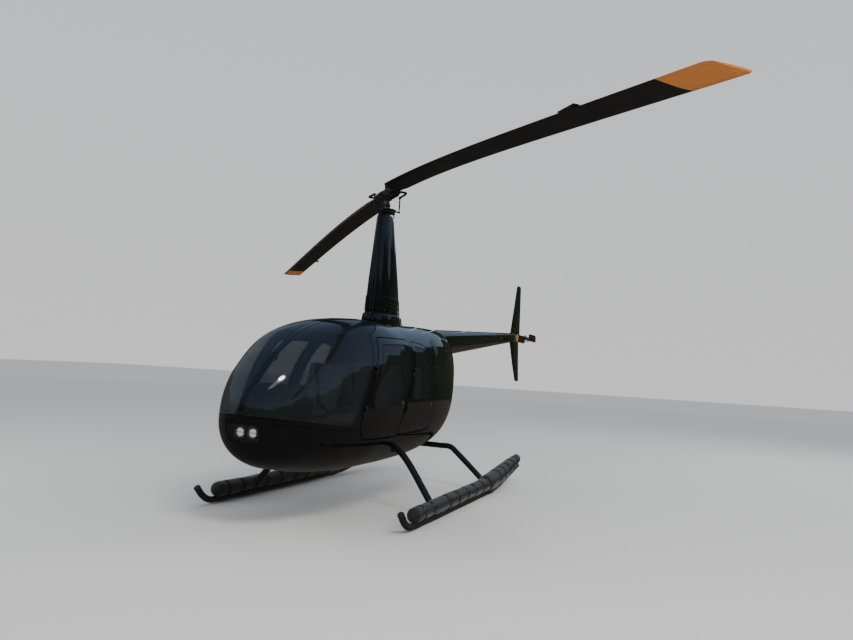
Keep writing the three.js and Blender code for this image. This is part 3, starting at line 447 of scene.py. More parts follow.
print("skin run", round(RUN[-1]), "mm", "widest", round(TABLE[:, 3].max() * 2), "mm")

# %% [markdown]
# ## Turning points into pieces
# Everything below makes lists of points and faces in drawing millimetres. One helper turns such a
# list into a piece: it moves it into the frame's metres, gives it its finish, makes it ride on the
# body it is bolted to, and says which plain solid it stands in for.

# %% Making a piece
def piece(name, shape, coat, body="airframe", stands_for=(), normals=None, crease=38):
    points, faces = shape
    points = np.asarray(points, float) / 1000 + np.array([MAST_X / 1000, 0, 0])
    mesh = bpy.data.meshes.new(name)
    mesh.from_pydata(points.tolist(), [], [list(map(int, f)) for f in faces])
    mesh.materials.append(coat)
    mesh.shade_smooth()
    if normals is not None:
        mesh.normals_split_custom_set_from_vertices(np.asarray(normals, float).tolist())
    elif crease:
        mesh.set_sharp_from_angle(angle=math.radians(crease))
    made = bpy.data.objects.new(name, mesh)
    scene.collection.objects.link(made)
    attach(made, body)
    if stands_for:
        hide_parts(*([stands_for] if isinstance(stands_for, str) else stands_for))
    return made


def joined(*shapes):
    points, faces, count = [], [], 0
    for more, corners in shapes:
        points.append(np.asarray(more, float))
        faces += [[int(k) + count for k in face] for face in corners]
        count += len(more)
    return np.concatenate(points), faces


def mirrored(shape):
    points, faces = shape
    return np.asarray(points, float) * (1, -1, 1), [list(face)[::-1] for face in faces]


def both_sides(shape):
    return joined(shape, mirrored(shape))


def turned(shape, degrees):
    """Turned about the mast's axis."""
    a = math.radians(degrees)
    spin = np.array([(math.cos(a), -math.sin(a), 0), (math.sin(a), math.cos(a), 0), (0, 0, 1)])
    return np.asarray(shape[0], float) @ spin.T, shape[1]


def lofted(rings, ends=True, closed=True):
    rings = np.asarray(rings, float)
    rows, count = rings.shape[:2]
    faces = strip_faces(rows, count, closed)
    if ends:
        faces.append(tuple(range(count))[::-1])
        faces.append(tuple((rows - 1) * count + k for k in range(count)))
    return rings.reshape(-1, 3), faces


def axes_of(direction):
    line = np.asarray(direction, float) / np.linalg.norm(direction)
    side = np.cross(line, (0, 0, 1) if abs(line[2]) < 0.9 else (1, 0, 0))
    side /= np.linalg.norm(side)
    return side, np.cross(line, side), line


def lathe(profile, at, direction, sides=32):
    """A turned part: rows of radius and distance along its axis from a point."""
    u, v, line = axes_of(direction)
    turn = circle(sides)
    spokes = np.cos(turn)[:, None] * u + np.sin(turn)[:, None] * v
    return lofted([np.asarray(at, float) + line * h + spokes * max(r, 0.01) for r, h in profile])


def upright(profile, sides=40, at=(0, 0, 0)):
    """A turned part about an upright line."""
    return lathe(profile, at, (0, 0, 1), sides)


def pipe(path, radius, sides=16, ends=True):
    """A round bar along points, with a radius for each or one for all."""
    path = np.asarray(path, float)
    radii = np.broadcast_to(np.asarray(radius, float), (len(path),))
    run = np.gradient(path, axis=0)
    run /= np.linalg.norm(run, axis=1)[:, None]
    u = axes_of(run[0])[0]
    turn = circle(sides)
    rings = []
    for point, line, r in zip(path, run, radii):
        u = u - line * (u @ line)
        u /= np.linalg.norm(u)
        v = np.cross(line, u)
        rings.append(point + r * (np.cos(turn)[:, None] * u + np.sin(turn)[:, None] * v))
    return lofted(rings, ends)


def curve(points, steps=12, loop=False):
    """A smooth curve through points."""
    points = np.asarray(points, float)
    if loop:
        rows = np.vstack([points[-1], points, points[0], points[1]])
    else:
        rows = np.vstack([2 * points[0] - points[1], points, 2 * points[-1] - points[-2]])
    out = []
    for k in range(len(rows) - 3):
        a, b, c, d = rows[k:k + 4]
        for w in np.arange(steps) / steps:
            out.append(b + (c - a) / 2 * w + (a - 2.5 * b + 2 * c - d / 2) * w**2
                       + (1.5 * (b - c) + (d - a) / 2) * w**3)
    if not loop:
        out.append(points[-1])
    return np.array(out)


def block(low, high, edge=3.0, steps=2):
    """A box with rounded edges."""
    cube = bmesh.new()
    bmesh.ops.create_cube(cube, size=1)
    low, high = np.minimum(low, high), np.maximum(low, high)
    for v in cube.verts:
        v.co = Vector((np.array(v.co) + 0.5) * (high - low) + low)
    bmesh.ops.bevel(cube, geom=cube.edges[:], offset=min(edge, (high - low).min() * 0.45),
                    segments=steps, profile=0.5, affect="EDGES")
    cube.verts.index_update()
    shape = np.array([v.co for v in cube.verts]), [[v.index for v in f.verts] for f in cube.faces]
    cube.free()
    return shape


def posed(shape, at, x_axis, z_axis):
    """A shape made at the origin, set down at a place with two of its axes given."""
    x = np.asarray(x_axis, float)
    z = np.asarray(z_axis, float)
    z = z / np.linalg.norm(z)
    x = x - z * (x @ z)
    x /= np.linalg.norm(x)
    return np.asarray(shape[0], float) @ np.array([x, np.cross(z, x), z]) + np.asarray(at, float), shape[1]


HEX_HEAD = upright([(0, 0), (8, 0), (8, 1), (6.2, 1.2), (6.2, 6.5), (5.4, 7.2), (0, 7.2)], 6)
RIVET = upright([(2.6, -0.3), (2.2, 0.5), (0, 0.95)], 7)
TURN_CATCH = joined(
    upright([(9.5, -0.5), (9.5, 0.3), (8.8, 0.9), (7.6, 0.7), (7.2, 0.2), (0, 0.2)], 20),
    block((-5.5, -0.9, -0.2), (5.5, 0.9, 0.9), 0.3, 1))


def many(shape, spots, scale=1.0):
    """Copies of a small part, each at a point, standing up along a normal."""
    out = []
    for at, normal in spots:
        side = axes_of(normal)[0]
        out.append(posed((np.asarray(shape[0]) * scale, shape[1]), at, side, normal))
    return joined(*out)


print("small parts: head", len(HEX_HEAD[0]), "rivet", len(RIVET[0]), "catch", len(TURN_CATCH[0]))

# %% [markdown]
# ## Skins with real edges
# A door, a cowl or a pane is a region of the cabin's shape with an outline. Cutting one dense hull
# with booleans would leave slivers along every joint. Here each region is triangulated between its
# own outlines on the unrolled skin, then laid on the shape, so its edge is clean. Each edge gets a
# small round and a real thickness, because that thin bright line is how a joint is read.

# %% Outlines in the side view
def rounded(corners, grow=0.0, steps=8, gap=22.0):
    """Corners of x, z and radius, anticlockwise, as a closed line moved out by grow."""
    points, count = [], len(corners)
    flat = np.array([(c[0], c[1]) for c in corners], float)
    along = np.roll(flat, -1, 0) - flat
    along /= np.linalg.norm(along, axis=1)[:, None]
    out = np.stack([along[:, 1], -along[:, 0]], 1)
    start = flat + out * grow
    for k in range(count):
        j = (k - 1) % count
        apart = start[k] - start[j]
        cross = along[j][0] * along[k][1] - along[j][1] * along[k][0]
        reach = (apart[0] * along[k][1] - apart[1] * along[k][0]) / cross
        tip = start[j] + along[j] * reach
        bend = math.acos(np.clip(along[j] @ along[k], -1, 1))
        inward = 1 if cross > 0 else -1
        radius = max(0.0, corners[k][2] + grow * inward) if corners[k][2] else 0
        back = radius * math.tan(bend / 2)
        if back < 1:
            points.append(tip)
            continue
        centre = tip - along[j] * back - out[j] * radius * inward
        for s in range(steps + 1):
            a = bend * s / steps * inward
            spin = np.array([(math.cos(a), -math.sin(a)), (math.sin(a), math.cos(a))])
            points.append(centre + spin @ out[j] * radius * inward)
    return filled(points, gap)


def filled(points, gap=22.0, loop=True):
    """The same line with no two points further apart than gap."""
    points = np.asarray(points, float)
    after = np.roll(points, -1, 0) if loop else points[1:]
    out = []
    for a, b in zip(points, after):
        parts = max(1, math.ceil(np.linalg.norm(b - a) / gap))
        out += [a + (b - a) * s / parts for s in range(parts)]
    if not loop:
        out.append(points[-1])
    return np.array(out)


def on_side(line, side=1, under=False):
    """A side-view line as stations and directions on the skin."""
    x = np.clip(line[:, 0], TAIL_X, NOSE_X - 0.5)
    return np.stack([x, turn_at(x, line[:, 1], side, under)], 1)


print("outline helper ready")

# %% Skins between outlines
GRID = 26.0
MEAN_RADIUS = 560         # turns a direction round the skin into a length on the unrolled skin
QUARTER = np.radians([0, 30, 60, 90])


def unrolled(loop):
    return np.stack([np.interp(loop[:, 0], TABLE[:, 0], RUN), loop[:, 1] * MEAN_RADIUS], 1)


def ring_edges(lengths):
    """Edges that close each of several rings of points, numbered one after the other."""
    edges, start = [], 0
    for n in lengths:
        edges += [(start + k, start + (k + 1) % n) for k in range(n)]
        start += n
    return edges


def inside(points, loops):
    hit = np.zeros(len(points), bool)
    for loop in loops:
        a, b = loop, np.roll(loop, -1, 0)
        for (x0, y0), (x1, y1) in zip(a, b):
            if y0 == y1:
                continue
            span = (points[:, 1] > min(y0, y1)) & (points[:, 1] <= max(y0, y1))
            cross = x0 + (points[:, 1] - y0) * (x1 - x0) / (y1 - y0)
            hit ^= span & (points[:, 0] < cross)
    return hit


def twice_area(loop):
    """Twice the area inside a closed line, above zero where the line turns left."""
    x, y = loop[:, 0], loop[:, 1]
    return (x * np.roll(y, -1) - np.roll(x, -1) * y).sum()


def skin_sheet(loops, thick, lift=0.0, roll=1.6, grid=GRID):
    """A sheet of the skin between a first outline and the holes after it: points, faces, normals."""
    loops = [loop if (twice_area(unrolled(loop)) > 0) == (k == 0) else loop[::-1]
             for k, loop in enumerate(loops)]
    flat = [unrolled(loop) for loop in loops]
    low, high = flat[0].min(0), flat[0].max(0)
    gx, gy = np.meshgrid(np.arange(low[0], high[0], grid), np.arange(low[1], high[1], grid))
    gx = gx + (np.arange(gx.shape[0]) % 2)[:, None] * grid / 2
    spots = np.stack([gx.ravel(), gy.ravel()], 1)
    spots = spots[inside(spots, flat)]
    rim = np.concatenate(flat)
    keep = np.ones(len(spots), bool)
    for k in range(0, len(spots), 2000):
        away = ((spots[k:k + 2000, None] - rim[None])**2).sum(-1).min(1)
        keep[k:k + 2000] = away > (grid * 0.45)**2
    spots = spots[keep]
    every = np.concatenate([rim, spots])
    edges = ring_edges([len(loop) for loop in flat])
    cut = delaunay_2d_cdt([Vector(p) for p in every], edges, [], 0, 1e-4)
    source = [o[0] if o else None for o in cut[3]]
    middle = np.array([np.mean([cut[0][v] for v in f], 0) for f in cut[2]])
    good = inside(middle, flat)
    faces = [[source[v] for v in f] for f, ok in zip(cut[2], good)
             if ok and all(source[v] is not None for v in f)]
    # stations and directions of every point: the rims exactly, the rest from the unrolled grid
    place = np.concatenate(loops + [np.stack([np.interp(spots[:, 0], RUN, TABLE[:, 0]),
                                              spots[:, 1] / MEAN_RADIUS], 1)])
    normal = normal_at(place[:, 0], place[:, 1])
    skin = on_skin(place[:, 0], place[:, 1])
    top, shade = skin + normal * lift, normal.copy()
    rims, start = [], 0
    for loop in loops:
        n = len(loop)
        ring = np.arange(start, start + n)
        run = np.roll(skin[ring], -1, 0) - np.roll(skin[ring], 1, 0)
        out = np.cross(normal[ring], run)
        out /= np.linalg.norm(out, axis=1)[:, None] + 1e-9
        rims.append((ring, out))
        start += n
    for ring, out in rims:
        top[ring] -= out * roll
    base = skin + normal * (lift - thick)
    points, shades, count = [top, base], [shade, -shade], len(top)
    # the unrolled skin is seen from inside, so faces are turned over
    corners = [f[::-1] for f in faces] + [[v + count for v in f] for f in faces]
    total = 2 * count
    for ring, out in rims:
        n, core = len(ring), skin[ring] + normal[ring] * (lift - roll) - out * roll
        rows = []
        for a in QUARTER:
            lean = out * math.sin(a) + normal[ring] * math.cos(a)
            rows.append((core + lean * roll, lean))
        rows.append((skin[ring] + normal[ring] * (lift - thick), out))
        for points_row, normals_row in rows:
            points.append(points_row)
            shades.append(normals_row)
        corners += [[b, a, d, c] for a, b, c, d in strip_faces(len(rows), n, first=total)]
        total += n * len(rows)
    return np.concatenate(points), corners, np.concatenate(shades)


def skin_piece(name, loops, thick, coat, slot, body="airframe", stands_for=(), extra=None, **how):
    points, faces, shades = skin_sheet(loops, thick, **how)
    if extra is not None:
        more, more_faces, more_shades = extra
        faces = faces + [[v + len(points) for v in f] for f in more_faces]
        points, shades = np.concatenate([points, more]), np.concatenate([shades, more_shades])
    return piece(name, (points, faces), coat, body, stands_for, shades)


print("sheets use a grid of", GRID, "mm")

# %% [markdown]
# ## Where the skins part
# A light machine like this has a moulded nose and belly, a welded cabin frame with a roof, four
# doors, two windscreen halves and cowls that come off for the engine. The lines between them are
# the ones a mechanic would find with a fingernail, so each is drawn once and used by both sides.

# %% Lines of the panels
SILL_Z, COWL_TOP_Z = 680, 1620
CABIN_END_X, AFT_COWL_X = -160, -1060
SEAM = 0.15
TIP_X = 2437.0            # the nose's moulded tip starts here
GLASS_TIP_X = 2439.4
BELLY_LINE = [(TAIL_X, SILL_Z), (1600, SILL_Z), (1680, 822), (3000, 942)]
DOORS = {
    "front": dict(
        hinge_y=600, panel=[(856, 735, 50), (1640, 735, 140), (1165, 1640, 90), (368, 1660, 50)],
        window=[(765, 1055, 60), (1425, 985, 70), (1118, 1572, 70), (470, 1598, 50)],
        hinges=[(1509, 985), (1328, 1330)]),
    "rear": dict(
        hinge_y=645, panel=[(-60, 740, 80), (816, 735, 50), (328, 1660, 50), (-98, 1625, 110)],
        window=[(25, 1075, 70), (573, 1065, 60), (297, 1598, 50), (-18, 1566, 80)],
        hinges=[(684, 985), (502, 1330)]),
}
SCREEN = [(2700, 968, 0), (2700, 2200, 0), (845, 2200, 0), (845, 1770, 0), (1235, 1640, 30),
          (1655, 850, 12), (1700, 852, 0)]
POST = 18
DOOR_GAP = 6
DOOR_FLARE = 0.12         # how fast a door's outline grows outboard of its hinges


def glass_foot(x):
    """The height of the windscreen's foot at a station."""
    return 852 + 0.116 * (x - 1700)


def door_line(door, grow=0.0):
    """A door's outline on the skin: its drawn size at the hinges, and larger outboard."""
    line = rounded(door["panel"], grow)
    coarse = rounded(door["panel"], grow, 3, 1e9)
    middle = coarse.mean(0)
    size = math.sqrt(abs(twice_area(coarse)) / 2) / 2
    drawn = line.copy()
    for _ in range(4):
        y = on_skin(line[:, 0], turn_at(line[:, 0], line[:, 1]))[:, 1]
        grown = 1 + DOOR_FLARE * (y - door["hinge_y"]) / size
        line = middle + (drawn - middle) * grown[:, None]
    return line


def upto(line, x_end):
    """The belly line from the tail to a station, filled in."""
    points = [p for p in line if p[0] < x_end]
    (x0, z0), (x1, z1) = points[-1], line[len(points)]
    points.append((x_end, z0 + (z1 - z0) * (x_end - x0) / (x1 - x0)))
    return filled(points, 18.0, False)


def run_of(x0, x1, step=18.0):
    """Stations from one to another, evenly spaced along the skin."""
    s0, s1 = np.interp([x0, x1], TABLE[:, 0], RUN)
    return np.interp(np.linspace(s0, s1, max(2, math.ceil(abs(s1 - s0) / step))), RUN, TABLE[:, 0])


def arc(x, t0, t1, step=18.0):
    """Points round the skin at one station."""
    turns = np.linspace(t0, t1, max(3, math.ceil(abs(t1 - t0) * 500 / step)))
    return np.stack([np.full(len(turns), float(x)), turns], 1)


def screen_loop(grow=0.0):
    """The port windscreen: along its foot, up the nose, back along the post, down the frame."""
    foot_x = run_of(1700, GLASS_TIP_X)
    foot = on_side(np.stack([foot_x, glass_foot(foot_x) - grow], 1))
    post_x = run_of(GLASS_TIP_X, 845 - grow)
    under, top, half, middle, above, below = section(post_x)
    y = POST - grow
    z = middle + (top - middle) * (1 - (y / half)**above)**(1 / above)
    post = np.stack([post_x, np.arctan2(z - middle, y)], 1)
    frame_line = rounded(SCREEN, grow, gap=18.0)
    z_top = np.interp(845, TABLE[:, 0], TABLE[:, 2])
    aft = frame_line[(frame_line[:, 0] < 1699.0) & (frame_line[:, 1] < z_top - 1)]
    order = np.argsort(-aft[:, 1])
    aft = on_side(aft[order])
    nose = arc(GLASS_TIP_X, foot[-1, 1], post[0, 1])[1:-1]
    back = arc(845 - grow, post[-1, 1], aft[0, 1])[1:-1]
    return np.concatenate([foot, nose, post, back, aft])


def starboard(loop, under=False):
    flipped = loop.copy()
    flipped[:, 1] = (-np.pi if under else np.pi) - flipped[:, 1]
    return flipped


def closed_round(port, star, ahead_x, behind_x):
    """One outline from its port and starboard edges, closed round the skin at both ends."""
    return np.concatenate([port, arc(ahead_x, port[-1, 1], star[0, 1])[1:-1], star,
                           arc(behind_x, star[-1, 1], port[0, 1])[1:-1]])


port_screen = screen_loop(0)
print("windscreen outline", len(port_screen), "points")

# %% [markdown]
# ## Nose, belly and cabin frame
# The belly is one moulding with a window for the landing lamps. The cabin frame is what remains
# between the doors and the windscreen: sills, posts, roof and the thin centre post.

# %% Belly, frame and nose tip
LAMP_Z = 802


def lamp_loop(grow):
    """The lamp window, drawn from ahead, as a line on the nose."""
    line = rounded([(-150, -72, 40), (150, -72, 40), (150, 72, 40), (-150, 72, 40)], grow, gap=10.0)
    y, z = line[:, 0], LAMP_Z + line[:, 1]
    low, high = np.full(len(y), 2000.0), np.full(len(y), NOSE_X - 0.5)
    for _ in range(40):
        x = (low + high) / 2
        middle = section(x)[3]
        turn = np.arctan2(z - middle, y)
        skin = on_skin(x, turn)
        out = np.hypot(y, z - middle) > np.hypot(skin[:, 1], skin[:, 2] - middle)
        high, low = np.where(out, x, high), np.where(out, low, x)
    return np.stack([x, turn], 1)


def belly_loop(lift, x_end):
    line = upto(BELLY_LINE, x_end)
    port = on_side(line + (0, lift))
    return port, starboard(port, True)[::-1]


port, star = belly_loop(-SEAM, TIP_X)
skin_piece("belly_skin", [closed_round(port, star, TIP_X, TAIL_X), lamp_loop(0)], 5, gloss_black, "body",
           stands_for="belly_shell", roll=2)
skin_piece("lamp_window", [lamp_loop(-0.6)], 3, clear_acrylic, "glass", stands_for="lamp_cover",
           roll=1, grid=14)

port, _ = belly_loop(SEAM, TIP_X)
port = port[port[:, 0] > CABIN_END_X]
port = np.concatenate([on_side(np.array([(CABIN_END_X, SILL_Z + SEAM)])), port])
star = starboard(port)[::-1]
# the glass runs on past the tip's edge, so the frame's own notch stops there
notch = port_screen.copy()
notch[:, 0] = np.minimum(notch[:, 0], TIP_X - 0.02)
holes = [on_side(door_line(door, DOOR_GAP), sign) for _, sign in SIDES for door in DOORS.values()]
skin_piece("cabin_skin", [closed_round(port, star, TIP_X, CABIN_END_X), *holes, notch, starboard(notch)],
           30, gloss_black, "body", stands_for="cabin_frame", roll=2)
turns = circle(96, -np.pi / 2)
x_start = np.full(len(turns), TIP_X)
points = on_skin(np.full(len(turns), GLASS_TIP_X), turns)
in_glass = (points[:, 2] > glass_foot(GLASS_TIP_X)) & (abs(points[:, 1]) > POST)
x_start[in_glass] = GLASS_TIP_X
rows = [x_start + (NOSE_X + NOSE_ROUND * 0.999 - x_start) * s for s in (0, 0.35, 0.6, 0.8, 0.93, 1)]
tip_points = np.concatenate([on_skin(x, turns) for x in rows])
tip_shades = np.concatenate([normal_at(x, turns) for x in rows])
piece("nose_tip", (tip_points, lofted(tip_points.reshape(6, -1, 3))[1]), gloss_black,
      normals=tip_shades)
for name, loop in (("left", screen_loop(-0.5)), ("right", starboard(screen_loop(-0.5)))):
    skin_piece(f"windscreen_half_{name}", [loop], 5, tinted_acrylic, "glass",
               stands_for=f"windscreen_{name}", roll=1)

# %% [markdown]
# ## Cowls
# The side cowls, the top cowl and the cowl round the fan are thin sheet with stiff edges. The fan's
# mouth at the back is a round hole in a flat plate, which turns into the sides over a soft edge.

# %% Cowls round the engine
def box_loop(x0, x1, z0, z1, side=1):
    line = filled([(x0, z0), (x1, z0), (x1, z1), (x0, z1)], 18.0)
    return on_side(line, side)


for name, side in SIDES:
    skin_piece(f"side_cowl_skin_{name}",
               [box_loop(AFT_COWL_X, CABIN_END_X - 2 * SEAM, SILL_Z + SEAM, COWL_TOP_Z - SEAM, side)],
               6, gloss_black, "body", stands_for=f"side_cowl_{name}", roll=2)


def over_top(x0, x1, z):
    x = filled([(x0, 0), (x1, 0)], 18.0, False)[:, 0]
    port = on_side(np.stack([x, np.full(len(x), float(z))], 1))
    star = starboard(port)[::-1]
    return closed_round(port, star, x1, x0)


skin_piece("top_cowl_skin", [over_top(AFT_COWL_X, CABIN_END_X - 2 * SEAM, COWL_TOP_Z + SEAM)], 6,
           gloss_black, "body", stands_for="top_cowl", roll=2)

FAN_Z, FAN_RADIUS, FAN_LIP = 985, 270, 14
RIM_POINTS, MOUTH_POINTS = 144, 96


def end_plate():
    """The flat plate round the fan's mouth, above the sill, with the belly's strip below it."""
    turns = circle(RIM_POINTS, -np.pi / 2)
    ring = on_skin(np.full(len(turns), TAIL_X), turns)[:, 1:]
    out, rise = np.cos(circle(MOUTH_POINTS)), np.sin(circle(MOUTH_POINTS))
    mouth = np.stack([FAN_RADIUS * out, FAN_Z + FAN_RADIUS * rise], 1)
    every = np.concatenate([ring, mouth])
    edges = ring_edges([RIM_POINTS, MOUTH_POINTS])
    cut = delaunay_2d_cdt([Vector(p) for p in every], edges, [], 0, 1e-4)
    flat = np.array([list(v) for v in cut[0]])
    good = inside(np.array([flat[list(f)].mean(0) for f in cut[2]]), [ring, mouth])
    faces = [list(f)[::-1] for f, ok in zip(cut[2], good) if ok]
    points = [np.concatenate([np.full((len(flat), 1), TAIL_X), flat], 1)]
    normals = [np.tile((-1.0, 0, 0), (len(flat), 1))]
    spokes = np.stack([np.zeros(MOUTH_POINTS), out, rise], 1)
    centre = np.array([0, 0, FAN_Z])
    for a in QUARTER:
        points.append(centre + spokes * (FAN_RADIUS - FAN_LIP * math.sin(a))
                      + np.array([TAIL_X + FAN_LIP * (1 - math.cos(a)), 0, 0]))
        normals.append(-spokes * math.sin(a) - np.array([math.cos(a), 0, 0]))
    points.append(centre + spokes * (FAN_RADIUS - FAN_LIP) + np.array([TAIL_X + 60, 0, 0]))
    normals.append(-spokes)
    faces += strip_faces(5, MOUTH_POINTS, first=len(flat))
    return np.concatenate(points), faces, np.concatenate(normals)


skin_piece("aft_cowl_skin", [over_top(TAIL_X, AFT_COWL_X - 2 * SEAM, SILL_Z + SEAM)], 6, gloss_black,
           "body", stands_for="aft_cowl", roll=2, extra=end_plate())

# %% [markdown]
# ## Doors
# Each door is a thin outer skin that closes against the frame, with a padded lining inside it that
# is set back from the edge all round, so that the door can swing clear. The pane is set in from
# outside and held by a narrow rubber bead.

# %% Doors, linings and panes
def bead(loop, radius, lift):
    """A rubber bead along an outline, lying on the skin."""
    normal = normal_at(loop[:, 0], loop[:, 1])
    path = on_skin(loop[:, 0], loop[:, 1]) + normal * lift
    path = np.concatenate([path, path[:2]])
    return pipe(path, radius, 8, ends=False)


lining_grey = finish("door_lining", ((0.030, 0.030, 0.032), (0.048, 0.047, 0.046)), (0.5, 0.68),
                     (800, 0.5, 0.0005), 30)
for side, sign in SIDES:
    for end, door in DOORS.items():
        body = f"door_{end}_{side}"
        pane = on_side(rounded(door["window"]), sign)
        skin_piece(f"{body}_skin", [on_side(door_line(door), sign), pane], 14, gloss_black, "body", body,
                   stands_for=body, roll=2.2)
        skin_piece(f"{body}_lining", [on_side(door_line(door, -32), sign),
                                      on_side(rounded(door["window"], 9), sign)],
                   24, lining_grey, "trim", body, lift=-14.2, roll=6)
        skin_piece(f"{body}_pane", [on_side(rounded(door["window"], -0.6), sign)], 4, tinted_acrylic,
                   "glass", body, stands_for=f"window_{end}_{side}", lift=-1.5, roll=1)
        piece(f"{body}_bead", bead(on_side(rounded(door["window"], -2), sign), 3.2, -0.5), rubber,
              body)
for name, loop in (("left", screen_loop(-3)), ("right", starboard(screen_loop(-3)))):
    piece(f"windscreen_bead_{name}", bead(loop, 3.0, -0.6), rubber)

# %% [markdown]
# ## Mast fairing
# The tall fairing hides the mast. It is drop-shaped in plan, round ahead and narrow behind, and tapers
# to the top. Below it are a wider band and a collar that spreads on to the roof. A loft through a few
# measured sections, with short rounds where one part meets the next, gives all of it.

# %% Fairing
DROP = circle(72)
# height, length ahead of the mast, length behind it, thickness
FAIRING = [(1905, 284, 505, 256), (2300, 246, 402, 222), (2990, 168, 172, 140)]
COLLAR = [(1700, 322, 640, 340), (1862, 312, 572, 312), (1925, 298, 540, 292)]
FAIRING_SHOULDER_Z, COLLAR_SHOULDER_Z, COLLAR_ROUND = 2930, 1912, 13


def drop_ring(z, front, back, thick, grow=0.0):
    c, s = np.cos(DROP), np.sin(DROP)
    taper = np.where(c > 0, 1, 1 - 0.45 * c * c)
    x = np.where(c > 0, c * (front + grow), c * (back + grow))
    return np.stack([x, s * taper * (thick / 2 + grow), np.full(len(DROP), float(z))], 1)


def fairing_ring(z, grow=0.0, rows=FAIRING):
    return drop_ring(z, *between(rows, z), grow=grow)


upper = [fairing_ring(z) for z in np.linspace(1915, FAIRING_SHOULDER_Z, 40)]
for a in np.radians(np.linspace(0, 90, 9)[1:]):
    z = FAIRING_SHOULDER_Z + 60 * math.sin(a)
    front, back, thick = between(FAIRING, z)
    upper.append(drop_ring(z, front - 14 * (1 - math.cos(a)), back - 66 * (1 - math.cos(a)),
                           thick - 18 * (1 - math.cos(a))))
collar = [fairing_ring(z, rows=COLLAR) for z in np.linspace(1740, COLLAR_SHOULDER_Z, 12)]
for a in QUARTER[1:]:
    collar.append(fairing_ring(COLLAR_SHOULDER_Z + COLLAR_ROUND * math.sin(a),
                               -COLLAR_ROUND * (1 - math.cos(a)), COLLAR))
collar.append(fairing_ring(1925, 2))
band = [fairing_ring(z, g) for z, g in (
    (1952, 0), (1953, 4), (1956, 6), (2104, 6), (2107, 4), (2108, 0))]
fairing = joined(lofted(upper), lofted(collar, False), lofted(band, False))
piece("mast_fairing_skin", fairing, gloss_black, stands_for="mast_fairing", crease=30)
spots = []
screw_rings = [(fairing_ring(z, g), 2, 5) for z, g in ((1966, 6), (2094, 6), (2520, 0))]
screw_rings.append((fairing_ring(1880, rows=COLLAR), 1, 6))
for ring, first, step in screw_rings:
    out = np.cross(np.roll(ring, -1, 0) - np.roll(ring, 1, 0), (0, 0, 1))
    spots += [(ring[k], out[k]) for k in range(first, len(DROP), step)]
piece("mast_fairing_screws", many(RIVET, spots, 1.5), zinc_plate)
print("fairing faces", len(fairing[1]))

# %% [markdown]
# ## Mast, swashplate and rotor head
# Two blades hang on a block that see-saws on a bolt through the mast. Below it, a pair of rings
# passes the pilot's controls from the still frame to the turning head, and two thin links go up from
# the upper ring to the blades' horns. Each forged part is a box or a turned shape with soft edges,
# placed by the solid model's own numbers, and bolts and bearings sit where the parts meet.

# %% Mast and swashplate
TEETER_Z = 3225           # the height of the bolt that the rotor see-saws on
PARKED = 43               # how far the rotor is turned, in degrees


def rod_end(at, line, size=11):
    """A bearing eye at a link's end."""
    return lathe([(size * 0.45, -size * 0.55), (size, -size * 0.45), (size, size * 0.45),
                  (size * 0.45, size * 0.55), (size * 0.45, -size * 0.55)], at, line, 20)


mast_tube = upright([(41.5, 2890), (41.5, 3050), (44, 3052), (44, 3062), (32, 3062), (32, 2900)])
piece("mast_tube_turned", mast_tube, bare_steel, stands_for="mast_tube")
still_ring = upright([(43, 3019), (88, 3019), (95, 3021), (95, 3034), (88, 3036), (43, 3036), (43, 3019)])
still = [still_ring]
for x, y in ((118, 0), (-104, 46), (-104, -46)):
    lug = block((x * 0.62, y * 0.8 - 9, 3021), (x + 8 * np.sign(x), y * 0.8 + 9, 3032), 3)
    still += [lug, pipe([(x, y, 2991), (x, y, 3024)], 6, 14), rod_end((x, y, 3024), (0, 1, 0), 10),
              upright([(9, 0), (9, 8), (7, 10), (0, 10)], 6, (x, y, 2991))]
piece("swashplate_still_ring", joined(*still), dark_forging, stands_for="swashplate_fixed")
shaft = upright([(29.5, 2916), (29.5, 3120), (33, 3124), (33, 3140), (29.5, 3144), (29.5, 3163)])
piece("rotor_shaft_turned", turned(shaft, PARKED), bare_steel, "main_rotor",
      stands_for="rotor_shaft")
turning = [upright([(44, 3043), (97, 3043), (103, 3045), (103, 3060), (97, 3062), (60, 3062),
                    (44, 3058), (44, 3043)])]
LINK_Y = 145
for side in (1, -1):
    y = side * LINK_Y
    turning.append(block((-11, side * 90, 3045), (11, y, 3059), 3))
    turning.append(pipe([(0, y, z) for z in (3056, 3086, 3090, 3172, 3176, 3198)], [5, 5, 8, 8, 5, 5], 14))
    turning += [rod_end((0, y, 3052), (1, 0, 0), 12), rod_end((0, y, 3200), (1, 0, 0), 11)]
    turning += [upright([(9, 0), (9, 8), (0, 8)], 6, (0, y, z)) for z in (3084, 3170)]
# the scissor that drives the upper ring round with the shaft
turning += [block((34, -14, 3096), (62, 14, 3112), 3),
            pipe([(56, 0, 3104), (96, 0, 3080), (78, 0, 3056)], 7, 10),
            upright([(30, 3094), (40, 3094), (40, 3114), (30, 3114)])]
piece("swashplate_turning_ring", turned(joined(*turning), PARKED), dark_forging, "main_rotor",
      stands_for="swashplate_turning")

